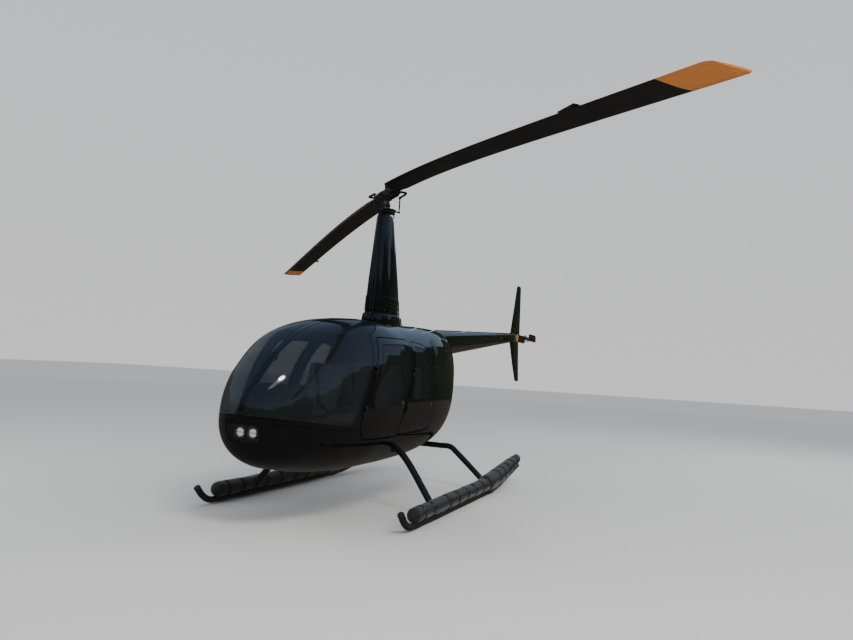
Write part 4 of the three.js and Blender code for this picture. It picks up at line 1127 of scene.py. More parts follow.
# %% Rotor head
hub = [upright([(30, 3163), (46, 3163), (51, 3168), (51, 3258), (46, 3264), (0, 3264)]),
       upright([(34, 3255), (34, 3324), (30, 3331), (0, 3331.5)], 32),
       lathe([(19, -92), (19, 92)], (0, 0, TEETER_Z), (0, 1, 0), 24),
       lathe([(14, -96), (14, 96)], (0, 0, TEETER_Z), (0, 1, 0), 6),
       block((-58, -48, 3196), (58, 48, 3248), 8, 3)]
for side in (1, -1):
    plate = block((-205, 45, 3181), (205, 65, 3261), 8, 3)
    hub.append(plate if side > 0 else mirrored(plate))
    for x in (-185, 185):
        hub.append(lathe([(24, 44), (24, 70), (20, 73), (0, 73)], (x, 0, TEETER_Z - 2), (0, side, 0), 28))
        hub.append(lathe([(13, 73), (13, 82), (0, 82)], (x, 0, TEETER_Z - 2), (0, side, 0), 6))
    hub.append(lathe([(30, 66), (30, 76), (24, 80), (0, 80)], (0, 0, TEETER_Z), (0, side, 0), 32))
spots = [((x, side * 65.5, z), (0, side, 0)) for x in (-120, -70, 70, 120) for z in (3196, 3246)
         for side in (1, -1)]
hub.append(many(HEX_HEAD, spots, 0.9))
hub.append(pipe(curve([(0, 40, 3262), (40, 60, 3275), (90, 62, 3268), (150, 60, 3262)], 6), 4, 8))
piece("rotor_head_forging", turned(joined(*hub), PARKED), dark_forging, "main_rotor",
      stands_for="rotor_hub")
print("head bolts", len(spots))

# %% [markdown]
# ## Main blades
# A parked blade bends under its own weight along the curve of a beam held at one end. The section is
# thin and symmetric, with a bright worn strip on the nose where rain and dust wear it, and an orange
# band at the tip so that it is seen when it turns. The coat is painted by radius, from the object's
# own coordinates, so it stays put when the rotor turns.

# %% Blade coat
def banded(name, colours, axis_point, plane, limits, tint, rough, grain, spread=6):
    """A blade's finish with a band of another colour from one radius to another, in metres."""
    coat = finish(name, colours, rough, grain, spread)
    nodes, links, found = parts_of(coat)
    shader, where = found["ShaderNodeBsdfPrincipled"], found["ShaderNodeTexCoord"]
    apart = add(nodes, "VectorMath", axis_point, operation="SUBTRACT")
    flat = add(nodes, "VectorMath", plane, operation="MULTIPLY")
    reach = add(nodes, "VectorMath", operation="LENGTH")
    past = add(nodes, "Math", limits[0], operation="GREATER_THAN")
    short = add(nodes, "Math", limits[1], operation="LESS_THAN")
    both = add(nodes, "Math", operation="MULTIPLY")
    mix = add(nodes, "Mix", data_type="RGBA")
    worn = add(nodes, "TexNoise", Scale=35, Detail=8)
    tip = add(nodes, "Mix", data_type="RGBA", A=(*tint, 1), B=(*[c * 0.72 for c in tint], 1))
    links.new(where.outputs["Object"], apart.inputs[0])
    chain(links, apart, flat, reach)
    for k, limit in enumerate((past, short)):
        links.new(reach.outputs["Value"], limit.inputs[0])
        links.new(limit.outputs[0], both.inputs[k])
    links.new(both.outputs[0], mix.inputs["Factor"])
    links.new(shader.inputs["Base Color"].links[0].from_socket, mix.inputs["A"])
    links.new(where.outputs["Object"], worn.inputs["Vector"])
    links.new(worn.outputs[0], tip.inputs["Factor"])
    links.new(tip.outputs["Result"], mix.inputs["B"])
    links.new(mix.outputs["Result"], shader.inputs["Base Color"])
    return coat


blade_coat = banded("blade_coat", ((0.008, 0.007, 0.006), (0.016, 0.014, 0.011)),
                    (MAST_X / 1000, 0, 0), (1, 1, 0), (4.66, 5.1), (0.62, 0.20, 0.03), (0.32, 0.5),
                    (300, 0.2, 0.0003))
worn_nose = finish("worn_blade_nose", ((0.16, 0.155, 0.15), (0.42, 0.41, 0.40)), (0.3, 0.5),
                   (500, 0.25, 0.0003), 22, Metallic=0.85)
print("blade coat ready")

# %% Blades
RADIUS, CHORD, BLADE_THICK, ROOT = 5030, 270, 34, 330


def blade_z(r):
    """The height of a drooping blade's middle at a radius."""
    s = r / RADIUS
    return TEETER_Z + 2 - 390 * s * s * (6 - 4 * s + s * s) / 3


def half_thickness(share):
    """A symmetric section's half height at a share of its chord, for a thickness of one."""
    return 5 * (0.2969 * np.sqrt(share) - share * (
        0.126 + share * (0.3516 - share * (0.2843 - share * 0.1036))))


def wing(count=44):
    """A symmetric section: share of the chord from the nose, and height for a thickness of one."""
    turn = circle(count)
    s = (1 - np.cos(turn)) / 2
    return s, np.sign(np.sin(turn)) * half_thickness(s)


def blade_skin(r0, r1, steps, share=1.0, lift=0.0):
    """Sections of a blade from one radius to another, over a share of its chord from the nose."""
    s, h = wing()
    keep = s <= share
    rings = []
    for r in np.linspace(r0, r1, steps):
        near_root = np.clip((r - ROOT) / 160, 0, 1)
        width = CHORD * (0.72 + 0.28 * (3 * near_root**2 - 2 * near_root**3))
        tip = np.clip((RADIUS - r) / 70, 0, 1)
        width *= 0.9 + 0.1 * math.sqrt(1 - (1 - tip)**2)
        end_round = np.clip((RADIUS - r) / 14, 0, 1)
        thick = BLADE_THICK * (0.35 + 0.65 * math.sqrt(1 - (1 - end_round)**2))
        # the section grows a hair for a strip that is bonded on
        y = (0.25 - s) * width + np.where(s < 0.02, lift, 0)
        ring = np.stack([np.full(len(s), r), y, blade_z(r) + h * (thick + 2 * lift)], 1)
        if share < 1:
            ring = np.roll(ring[keep], -int(np.argmax(~keep)), 0)
        rings.append(ring)
    return np.array(rings)


grip = [block((150, -40, 3200), (232, 40, 3248), 8, 3),
        lathe([(24, 205), (24, 335), (28, 340), (28, 372), (22, 380)], (0, 0, TEETER_Z), (1, 0, -0.005), 32),
        pipe(curve([(220, 18, 3222), (221, 112, 3222), (196, 142, 3220), (100, 147, 3215),
                    (0, LINK_Y, 3213)], 8), 12, 16),
        rod_end((0, LINK_Y, 3213), (0, 0, 1), 15),
        block((ROOT, -66, TEETER_Z - 16), (470, 40, TEETER_Z + 17), 8, 3)]
spots = [((x, y, TEETER_Z + 17), (0, 0, 1)) for x in (350, 385, 420, 452) for y in (-48, -13, 24)]
grip_bolts = many(HEX_HEAD, spots, 0.8)
tab_z = blade_z(3890)
tab = block((3800, -237, tab_z - 1.5), (3980, -190, tab_z + 1.5), 0.6, 1)
doublers = []
# inner and outer end, rear and front edge, and height over the blade's skin
for r0, r1, y0, y1, proud in ((360, 760, -150, 46, 1.4), (360, 610, -120, 30, 2.6)):
    rings = []
    for r in np.linspace(r0, r1, 8):
        shrink = 1 - 0.35 * (r - r0) / (r1 - r0)
        y = np.linspace(y0 * shrink, y1 * shrink, 10)
        share = np.clip(0.25 - y / CHORD, 0, 1)
        z = blade_z(r) + half_thickness(share) * BLADE_THICK + proud
        rings.append(np.stack([np.full(10, r), y, z], 1))
    doublers.append(lofted(np.array(rings), False, False))
strip = blade_skin(420, RADIUS - 18, 90, 0.09, 0.7)
for k, spin in enumerate((PARKED, PARKED + 180)):
    name = f"main_blade_{k + 1}"
    piece(f"{name}_skin", turned(joined(lofted(blade_skin(ROOT, RADIUS, 150)), tab, *doublers), spin),
          blade_coat, "main_rotor", stands_for=name)
    piece(f"{name}_nose_strip", turned(lofted(strip, False, False), spin), worn_nose,
          "main_rotor")
    piece(f"{name}_grip", turned(joined(*grip), spin), satin_black, "main_rotor")
    piece(f"{name}_bolts", turned(grip_bolts, spin), zinc_plate, "main_rotor")
print("blade tip height", round(blade_z(RADIUS)), "mm")

# %% [markdown]
# ## Tail boom
# The boom is a cone of thin sheet, made in bays. Each bay laps over the next and is riveted to a hoop
# inside, so the eye sees a step every half metre and two close rows of rivets. Rivets are tiny and
# many, so one small dome is copied along each row and the whole lot is one piece.

# %% Boom skin and rivets
BOOM_X0, BOOM_Z0, BOOM_R0 = -1430.3, 1682, 182
BOOM_X1, BOOM_Z1, BOOM_R1 = -5600, 2013, 78
LAP = 0.7                 # how far each bay stands out over the next


def boom_at(x):
    s = (x - BOOM_X0) / (BOOM_X1 - BOOM_X0)
    return BOOM_Z0 + (BOOM_Z1 - BOOM_Z0) * s, BOOM_R0 + (BOOM_R1 - BOOM_R0) * s


def hoop(x, r, z, count):
    turn = circle(count)
    return np.stack([np.full(count, float(x)), r * np.cos(turn), z + r * np.sin(turn)], 1)


def boom_hoop(x, grow=0.0):
    z, r = boom_at(x)
    return hoop(x, r + grow, z, 72)


def boom_rivet(x, n, lift):
    z, r = boom_at(x)
    return np.array([x, 0, z]) + n * (r + lift), n


bays = np.linspace(BOOM_X0, BOOM_X1, 9)
rings, spots = [], []
for a, b in zip(bays[:-1], bays[1:]):
    rings += [boom_hoop(a - 1), boom_hoop(a - 2, LAP)]
    rings += [boom_hoop(x, LAP * (1 - (x - a) / (b - a))) for x in np.linspace(a - 30, b + 6, 8)]
    for x in (a - 12, a - 26):
        for t in circle(int(boom_at(x)[1] * 2 * np.pi / 26)):
            spots.append(boom_rivet(x, np.array([0, math.cos(t), math.sin(t)]), 0.6))
rings.append(boom_hoop(BOOM_X1))
for x in np.arange(BOOM_X0 - 40, BOOM_X1, -24):
    spots += [boom_rivet(x, np.array([0, 0, way]), 0.5) for way in (-1.0, 1.0)]
boom = lofted(rings)
piece("tail_boom_skin", boom, gloss_black, stands_for="tail_boom", crease=20)
piece("tail_boom_rivets", many(RIVET, spots), gloss_black)
print("boom rivets", len(spots))

# %% [markdown]
# ## Tail gearbox, fins and stabiliser
# The gearbox closes the boom. The fins above and below it and the stabiliser to starboard are built
# like small wings: thin, riveted along two spars, with a cap at each tip.

# %% Gearbox
TAIL_Z = 2016             # the height of the gearbox's and the stabiliser's middle
TAIL_HUB = np.array([-5890, 222, 2020.0])
shell = lofted([hoop(x, r, TAIL_Z, 48) for x, r in (
    (-5600.5, 76), (-5602, 80), (-5618, 80), (-5620, 75), (-5700, 73.5), (-5830, 66), (-5960, 55.5),
    (-5990, 49), (-6005, 42), (-6010, 34), (-6010, 5))])
stub = lathe([(60, 0), (60, 40), (52, 52), (42, 62), (40, 84), (44, 86), (44, 98), (35, 100), (34, 119),
              (19, 120), (19, 90)], (TAIL_HUB[0], 0, TAIL_HUB[2]), (0, 1, 0), 40)
stud_spots = [((TAIL_HUB[0] + 52 * math.cos(t), 54, TAIL_HUB[2] + 52 * math.sin(t)), (0, 1, 0))
              for t in circle(8, 0.3)]
lug = [block((-5720, -14, 2070), (-5690, 14, 2100), 4),
       upright([(9, 0), (9, 16), (5, 20), (0, 20)], 12, (-5760, 0, 2084))]
piece("tail_gearbox_casting", joined(shell, stub, *lug), cast_metal, stands_for="tail_gearbox")
studs = [((-5611, 80 * math.cos(t), TAIL_Z + 80 * math.sin(t)), (0, math.cos(t), math.sin(t)))
         for t in circle(10)]
piece("tail_gearbox_nuts", joined(*[many(HEX_HEAD, row, 0.7) for row in (stud_spots, studs)]),
      zinc_plate)
sight = lathe([(14, 0), (14, 6), (11, 8), (10, 6), (0, 6)], (-5760, 69, 2010), (0, 1, 0), 24)
piece("oil_sight_glass", sight, clear_acrylic)

# %% Fins and stabiliser
def fin_skin(rows, point, steps=36):
    """A small wing through rows of place, leading edge, trailing edge and thickness."""
    s, h = wing(40)
    rings = []
    for w in np.linspace(0, 1, steps):
        at = rows[0][0] + (rows[-1][0] - rows[0][0]) * w
        lead, trail, thick = between(rows, at)
        rings.append(point(at, trail + (1 - s) * (lead - trail), h * thick))
    return lofted(np.array(rings))


def fin_rivets(rows, point, shares=(0.16, 0.45, 0.8)):
    """Rows of rivets on both faces, each along a share of the chord."""
    spots = []
    ends = sorted((rows[0][0], rows[-2][0]))
    for share in shares:
        half = half_thickness(share)
        for at in np.arange(ends[0] + 20, ends[1] - 10, 28):
            lead, trail, thick = between(rows, at)
            x = np.array([trail + (1 - share) * (lead - trail)])
            for side in (1, -1):
                spot, far = (point(at, x, np.array([side * h]))[0] for h in (half * thick, 1000.0))
                spots.append((spot, far - spot))
    return spots


def upright_fin(z, x, y):
    return np.stack([x, y, np.full(len(x), float(z))], 1)


def level_fin(y, x, z):
    return np.stack([x, np.full(len(x), float(y)), TAIL_Z + z], 1)


UPPER_FIN = [(2060, -5560, -6235, 52), (2600, -5770, -6205, 40), (2950, -5892, -6178, 28),
             (2974, -5930, -6150, 14)]
LOWER_FIN = [(1990, -5520, -6165, 52), (1560, -5800, -6240, 40), (1275, -6030, -6300, 28),
             (1250, -6070, -6280, 14)]
STABILISER = [(-30, -5560, -5900, 40), (-760, -5590, -5890, 30), (-775, -5610, -5870, 12)]
for name, rows, point in (("upper_fin", UPPER_FIN, upright_fin), ("lower_fin", LOWER_FIN, upright_fin),
                          ("horizontal_stabiliser", STABILISER, level_fin)):
    piece(f"{name}_skin", fin_skin(rows, point), gloss_black, stands_for=name, crease=30)
    piece(f"{name}_rivets", many(RIVET, fin_rivets(rows, point), 0.9), gloss_black)
print("stabiliser span", STABILISER[0][0] - STABILISER[-1][0], "mm")

# %% [markdown]
# ## Tail rotor
# A small two-bladed rotor pushes the tail sideways. Its hub see-saws like the big one, and a thin
# ring with two links turns the blades about their length.

# %% Tail rotor
tail_coat = banded("tail_blade_coat", ((0.009, 0.008, 0.007), (0.017, 0.015, 0.013)),
                   ((TAIL_HUB[0] + MAST_X) / 1000, 0, TAIL_HUB[2] / 1000), (1, 0, 1), (0.66, 0.80),
                   (0.62, 0.20, 0.03), (0.3, 0.48), (400, 0.2, 0.0002))


def to_tail(shape, flip=False):
    points = np.asarray(shape[0], float)
    if flip:
        points = points * (-1, 1, -1)
    return points + TAIL_HUB, shape[1]


tail_hub = joined(
    lathe([(17.5, -131), (17.5, 26), (12, 30), (0, 30)], (0, 0, 0), (0, 1, 0), 32),
    lathe([(20, -94), (44, -92), (46, -88), (46, -66), (42, -62), (20, -62)], (0, 0, 0), (0, 1, 0), 36),
    block((-90, -26, -29), (90, 26, 29), 7, 3),
    upright([(12, -34), (12, 34), (0, 34)], 20),
    pipe([(44, -70, 30), (62, -40, 44), (118, -8, 46)], 4, 10),
    pipe([(-44, -70, -30), (-62, -40, -44), (-118, -8, -46)], 4, 10),
    many(HEX_HEAD, [((x, 26, z), (0, 1, 0)) for x in (-72, -36, 36, 72) for z in (-16, 16)], 0.8))
piece("tail_rotor_head", to_tail(tail_hub), bare_steel, "tail_rotor", stands_for="tail_rotor_hub")
s, h = wing(36)
rings = []
TAIL_STATIONS = (150, 156, 170, 185, 210, 300, 420, 540, 640, 722, 732, 736.5)
for r in TAIL_STATIONS:
    chord = np.interp(r, (150, 185, 722, 736.5), (100, 130, 130, 100))
    thick = 14 * (0.4 if r > 734 else 0.75 if r > 728 else 1)
    rings.append(np.stack([np.full(len(s), float(r)), h * thick, (0.25 - s) * chord], 1))
tail_blade = joined(lofted(rings), lathe([(15, 91), (15, 200)], (0, 0, 0), (1, 0, 0), 24),
                    block((150, -8, -30), (200, 8, 26), 3),
                    block((96, -10, -4), (124, 8, 54), 4))
for k in (1, 2):
    piece(f"tail_blade_{k}_skin", to_tail(tail_blade, k == 2), tail_coat, "tail_rotor",
          stands_for=f"tail_blade_{k}")
print("tail rotor across", round(2 * TAIL_STATIONS[-1]), "mm")

# %% [markdown]
# ## Skid gear
# Two bent steel cross tubes carry two skids. The front tube leaves the belly through rubber boots,
# and the rear one runs just under the skin in rubber blocks. Both run down to saddles clamped round
# the skids. A swept round bar along a smooth path is how a tube bender would see it. The paint is
# satin, dusty low down, and the shoe underneath is worn to bare steel.

# %% Cross tubes and skids
SKID_Y, SKID_R, SKID_LOW = 1007, 30, 33
TUBE_R = 32
# station at the belly and at the skid, height of the level part, and where the tube bends down
GEAR = {"front": (590, 690, 600, 528), "rear": (-1120, -1105, 488, 500)}


def tube_path(x, foot, z, elbow):
    port = [(foot, SKID_Y - 16, 2 * SKID_R + 12), ((x * 3 + foot) / 4, elbow + 112, z - 88),
            (x, elbow, z - 6), (x, elbow - 120, z)]
    points = np.array(port + [(a, -b, c) for a, b, c in port[::-1]], float)
    # centripetal spacing keeps the bend round where the points stand unevenly
    knots = np.concatenate([[0], np.cumsum(np.linalg.norm(np.diff(points, axis=0), axis=1)**0.5)])
    rows = np.vstack([2 * points[0] - points[1], points, 2 * points[-1] - points[-2]])
    k = np.concatenate([[-(knots[1] - knots[0])], knots, [2 * knots[-1] - knots[-2]]])
    out = []
    for j in range(len(points) - 1):
        p, t = rows[j:j + 4], k[j:j + 4]
        for w in np.linspace(t[1], t[2], 17)[:-1]:
            a = [(t[m + 1] - w) / (t[m + 1] - t[m]) * p[m] + (w - t[m]) / (t[m + 1] - t[m]) * p[m + 1]
                 for m in range(3)]
            b = [(t[m + 2] - w) / (t[m + 2] - t[m]) * a[m] + (w - t[m]) / (t[m + 2] - t[m]) * a[m + 1]
                 for m in range(2)]
            out.append((t[2] - w) / (t[2] - t[1]) * b[0] + (w - t[1]) / (t[2] - t[1]) * b[1])
    out.append(points[-1])
    return np.array(out)


for end, (x, foot, z, elbow) in GEAR.items():
    path = tube_path(x, foot, z, elbow)
    piece(f"cross_tube_{end}_bent", pipe(path, TUBE_R, 28), satin_black,
          stands_for=f"cross_tube_{end}")
    boots = []
    for side in (1, -1):
        if end == "rear":
            boots.append(block((x - 44, side * 150 - 26, 486), (x + 44, side * 150 + 26, 548), 9, 3))
            continue
        y = side * (elbow - 30)
        near = path[np.argmin(abs(path[:, 1] - y))]
        ahead_of = path[np.argmin(abs(path[:, 1] - (y + side * 20)))]
        line = (ahead_of - near) / np.linalg.norm(ahead_of - near)
        boots.append(lathe([(32, -34), (46, -30), (50, -18), (44, -8), (46, 2), (38, 10), (40, 16),
                            (33, 20), (32, 20)], near, line, 32))
    piece(f"cross_tube_{end}_boots", joined(*boots), rubber)

skid_points = np.array([(1545, 165), (1475, 98), (1370, 44), (1230, SKID_LOW), (900, SKID_LOW),
                        (0, SKID_LOW), (-900, SKID_LOW), (-1150, SKID_LOW + 3), (-1500, 62),
                        (-2340, 196)], float)
skid_path = curve(np.stack([skid_points[:, 0], 0 * skid_points[:, 0], skid_points[:, 1]], 1), 12)


def skid_z(x):
    return np.interp(x, skid_path[::-1, 0], skid_path[::-1, 2])


for name, sign in SIDES:
    rail = skid_path + (0, sign * SKID_Y, 0)
    end_cap = [lathe([(SKID_R, -2), (SKID_R + 1.5, 0), (SKID_R + 1.5, 14), (SKID_R - 6, 20), (0, 21)],
                     rail[k], rail[k] - rail[j], 28) for k, j in ((0, 1), (-1, -2))]
    piece(f"skid_{name}_tube", joined(pipe(rail, SKID_R, 28), *end_cap), satin_black,
          stands_for=f"skid_{name}")
    shoe = block((-900, sign * SKID_Y - 16, 0.2), (900, sign * SKID_Y + 16, 14), 3, 2)
    piece(f"skid_{name}_shoe", shoe, worn_nose)
    saddles, bolts = [], []
    for x, foot, z, elbow in GEAR.values():
        at = np.array([foot, sign * SKID_Y, skid_z(foot)])
        ahead_of = np.array([foot + 10, sign * SKID_Y, skid_z(foot + 10)]) - at
        saddles.append(lathe([(SKID_R, -72), (SKID_R + 4, -70), (SKID_R + 4, 70), (SKID_R, 72)],
                             at, ahead_of, 28))
        path = tube_path(x, foot, z, elbow)
        tip, inner = (path[0], path[3]) if sign > 0 else (path[-1], path[-4])
        saddles.append(lathe([(33, -30), (38, -26), (38, 60), (33, 64)], tip, inner - tip, 28))
        bolts += [(at + (dx, way * (SKID_R + 3), 0), (0, way, 0)) for way in (sign, -sign)
                  for dx in (-50, 50)]
    clamps = joined(*saddles)
    clamps[0][:, 2] = np.maximum(clamps[0][:, 2], 0.6)      # nothing reaches below the ground
    piece(f"skid_{name}_saddles", clamps, satin_black)
    piece(f"skid_{name}_bolts", many(HEX_HEAD, bolts, 0.9), zinc_plate)
print("skid length", round(skid_path[0, 0] - skid_path[-1, 0]), "mm")

# %% [markdown]
# ## Float bags
# The floats lie folded in long covers laced along the top of the skids. Coated cloth pulled tight
# over a folded float is never a clean tube: it sags between its straps, pinches under them and runs
# in long shallow folds. Each bag is a tube of close rings whose radius is moved by those three
# effects. It is a formula and not a cloth simulation, so that the hems, straps, eyelets and lacing
# cord on top can be laid on the very same surface.

# %% Bag cloth
bag_cloth = finish("bag_cloth", ((0.012, 0.012, 0.013), (0.030, 0.030, 0.032)), (0.42, 0.62),
                   (90, 0.5, 0.004), 7, Sheen_Weight=0.25, Sheen_Roughness=0.4)


def woven(coat, pitch, strength=0.25, height=0.0004):
    """Adds a plain weave to a finish: two crossed waves, pitch in metres."""
    nodes, links, found = parts_of(coat)
    where, relief = found["ShaderNodeTexCoord"], found["ShaderNodeBump"]
    shader = found["ShaderNodeBsdfPrincipled"]
    last = relief.outputs[0]
    for way in ("X", "Z"):
        wave = nodes.new("ShaderNodeTexWave")
        wave.bands_direction = way
        wave.inputs["Scale"].default_value = 0.314 / pitch
        wave.inputs["Distortion"].default_value = 0.6
        links.new(where.outputs["Object"], wave.inputs["Vector"])
        bump = nodes.new("ShaderNodeBump")
        bump.inputs["Strength"].default_value = strength
        bump.inputs["Distance"].default_value = height
        links.new(wave.outputs[1], bump.inputs["Height"])
        links.new(last, bump.inputs["Normal"])
        last = bump.outputs[0]
    links.new(last, shader.inputs["Normal"])
    return coat


woven(bag_cloth, 0.004)
webbing = woven(finish("black_webbing", ((0.014, 0.014, 0.014), (0.026, 0.026, 0.026)), (0.6, 0.8),
                       (900, 0.4, 0.0005), 40), 0.002, 0.5)
print("cloth", bag_cloth.name, webbing.name)

# %% Bags
BAG = np.array([(-2345, 294, 34), (-2290, 286, 62), (-1950, 236, 84), (-1500, 172, 100),
                (-1150, 140, 101), (-960, 133, 96), (-820, 124, 76), (0, 122, 73), (1225, 121, 72),
                (1272, 120, 62), (1295, 118, 30)], float)
STRAPS = [1140, 905, 480, 200, -80, -360, -640, -880, -1260, -1480, -1700, -1920, -2140]
EYELET = upright([(3, 0), (6, 0.4), (6.5, 1.4), (3.4, 1.8), (3, 0)], 14)


def bag_at(x):
    """The height and radius of a bag at a station."""
    return between(BAG, x)


def bag_radius(x, turn, seed):
    """The cover's radius: sagging between straps, pinched at them, with folds and creases."""
    z, r = bag_at(x)
    near = np.min([abs(x - s) for s in STRAPS], axis=0)
    pinch = -5.0 * np.exp(-(near / 26)**2)
    fold = (2.2 * np.sin(2 * turn + x / 170 + seed) + 1.6 * np.sin(5 * turn - x / 95 + 2 * seed)
            + 1.1 * np.sin(9 * turn + x / 43 + seed) + 0.8 * np.sin(x / 27 + 3 * turn))
    crease = 1.6 * np.sin(x / 9.5 + 4 * np.sin(turn * 2 + seed)) * np.exp(-(near / 60)**2)
    slack = 2.0 * np.sin(turn)**2 * np.sin(x / 210 + seed)
    room = np.clip((min(BAG[-1, 0] - x, x - BAG[0, 0])) / 60, 0, 1)
    return r - 2.5 + (pinch + fold * 0.8 + crease + slack) * room


def bag_ring(x, sign, seed, count=64, grow=0.0):
    turn = circle(count)
    z, _ = bag_at(x)
    r = bag_radius(x, turn, seed) + grow
    y = r * np.cos(turn)
    h = z + r * np.sin(turn)
    # where the skid passes below, the cover lies on it
    under = skid_z(x)
    lip = under + np.sqrt(np.clip((SKID_R + 2)**2 - y**2, 0, None))
    h = np.where((abs(y) < SKID_R + 2) & (h < lip) & (np.sin(turn) < 0), lip, h)
    return np.stack([np.full(count, float(x)), sign * SKID_Y + y, h], 1)


for name, sign in SIDES:
    seed = 0.7 if sign > 0 else 2.1
    xs = np.concatenate([np.linspace(-2345, -2290, 7), np.arange(-2282, 1262, 9.0),
                         np.linspace(1268, 1295, 6)])
    rings = [bag_ring(x, sign, seed) for x in xs]
    back, front = (rings[k].mean(0) + (rings[k] - rings[k].mean(0)) * shrink + (push, 0, 0)
                   for k, shrink, push in ((0, 0.55, -9), (-1, 0.5, 7)))
    cover = lofted([back, *rings, front])
    piece(f"float_bag_{name}_cover", cover, bag_cloth, stands_for=f"float_bag_{name}", crease=70)
    straps, buckles, eyelets, lace, hem = [], [], [], [], []
    for x in STRAPS:
        rows = [bag_ring(x + dx, sign, seed, 64, g) for dx, g in
                ((-19, 0.4), (-18.5, 2.6), (-6, 3.0), (6, 3.0), (18.5, 2.6), (19, 0.4))]
        straps.append(lofted(rows, False))
        turn = math.radians(40 if sign > 0 else 140)
        z, r = bag_at(x)
        n = np.array([0, math.cos(turn), math.sin(turn)])
        at = np.array([x, sign * SKID_Y, z]) + n * (r + 0.5)
        buckles.append(posed(joined(block((-24, -14, 0), (24, 14, 3.5), 1.2),
                                    block((-20, -3, 2), (20, 3, 6), 1)), at, (1, 0, 0), n))
    # the laced hem runs along the outboard side, just above the middle
    hem_turn = math.radians(18 if sign > 0 else 162)
    run = np.arange(-2240, 1240, 12.0)
    spine = []
    for x in run:
        turn = np.array([hem_turn])
        z, _ = bag_at(x)
        r = bag_radius(x, turn, seed)[0]
        spine.append((x, sign * SKID_Y + r * math.cos(hem_turn), z + r * math.sin(hem_turn)))
    spine = np.array(spine)
    out = np.array([0, math.cos(hem_turn), math.sin(hem_turn)])
    along_up = np.array([0, -math.sin(hem_turn), math.cos(hem_turn)]) * sign
    for lift in (-13, 13):
        hem.append(pipe(spine + along_up * lift + out * 1.2, 3.2, 8))
    for k in range(2, len(run) - 2, 5):
        for lift in (-21, 21):
            eyelets.append((spine[k] + along_up * lift + out * 2.4, out))
        step = spine[min(k + 5, len(run) - 1)]
        lace.append(pipe([spine[k] + along_up * -21 + out * 3, spine[k] + out * 7,
                          spine[k] + along_up * 21 + out * 3, (spine[k] + step) / 2 + out * 7,
                          step + along_up * -21 + out * 3], 2.0, 6))
    piece(f"float_bag_{name}_straps", joined(*straps), webbing)
    piece(f"float_bag_{name}_hem", joined(*hem), bag_cloth)
    piece(f"float_bag_{name}_lacing", joined(*lace), webbing)
    piece(f"float_bag_{name}_fittings", joined(*buckles, many(EYELET, eyelets)), zinc_plate)
print("straps on each bag", len(STRAPS))

# %% [markdown]
# ## Cabin lining
# The floor with its seat boxes and the bulkhead behind the rear seats keep the solid model's mesh,
# because their shapes are right. They only need carpet and quilted lining. A carpet is seen as a
# short, uneven pile, so its relief is strong and fine, and its colour wanders.

# %% Carpet and lining
carpet = finish("loop_carpet", ((0.020, 0.020, 0.022), (0.050, 0.050, 0.052)), (0.85, 0.98),
                (420, 1.0, 0.002), 120, Sheen_Weight=0.3, Sheen_Roughness=0.6)
quilted = finish("bulkhead_lining", ((0.022, 0.022, 0.024), (0.040, 0.040, 0.042)), (0.6, 0.8),
                 (240, 0.6, 0.0012), 15, Sheen_Weight=0.15)


def recoat(node, coat):
    """Gives a solid that keeps its mesh a new finish."""
    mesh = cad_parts[node].data
    for k in range(len(mesh.materials)):
        mesh.materials[k] = coat


recoat("cabin_floor", carpet)
recoat("firewall", quilted)
kick_strip = [block((x - 3, -515, 815.5), (x + 3, 515, 817.5), 1) for x in (722, 1233)]
piece("seat_box_edging", joined(*kick_strip), bare_steel)
piece("floor_rub_strips", joined(*[block((1330, y - 6, 662.3), (1730, y + 6, 666), 1.5)
                                   for y in (-400, -240, 240, 400)]), rubber)
print("cabin lined")

# %% [markdown]
# ## Seats
# A seat pad is foam in a sewn cover. Foam pushes outward until the cover stops it, so the faces crown
# and the sides pull in between the corners. Blender's cloth does this by itself: a plain pad becomes
# a closed cloth, air pressure swells it for twenty frames, and how far each point may move is capped
# as real stitching would cap it. Only after that come the sewn channels and the piping, since the
# remesh in the first step would have lost anything so narrow. The port seat is blown up once and
# mirrored.

# %% Blowing up a pad
seat_hide = finish("seat_leather", ((0.13, 0.13, 0.135), (0.21, 0.21, 0.212)), (0.42, 0.60),
                   (900, 0.45, 0.0006), 30, Sheen_Weight=0.12)
piping_hide = finish("piping_leather", ((0.030, 0.030, 0.032), (0.055, 0.055, 0.056)), (0.4, 0.55),
                     (1200, 0.4, 0.0004), 40)


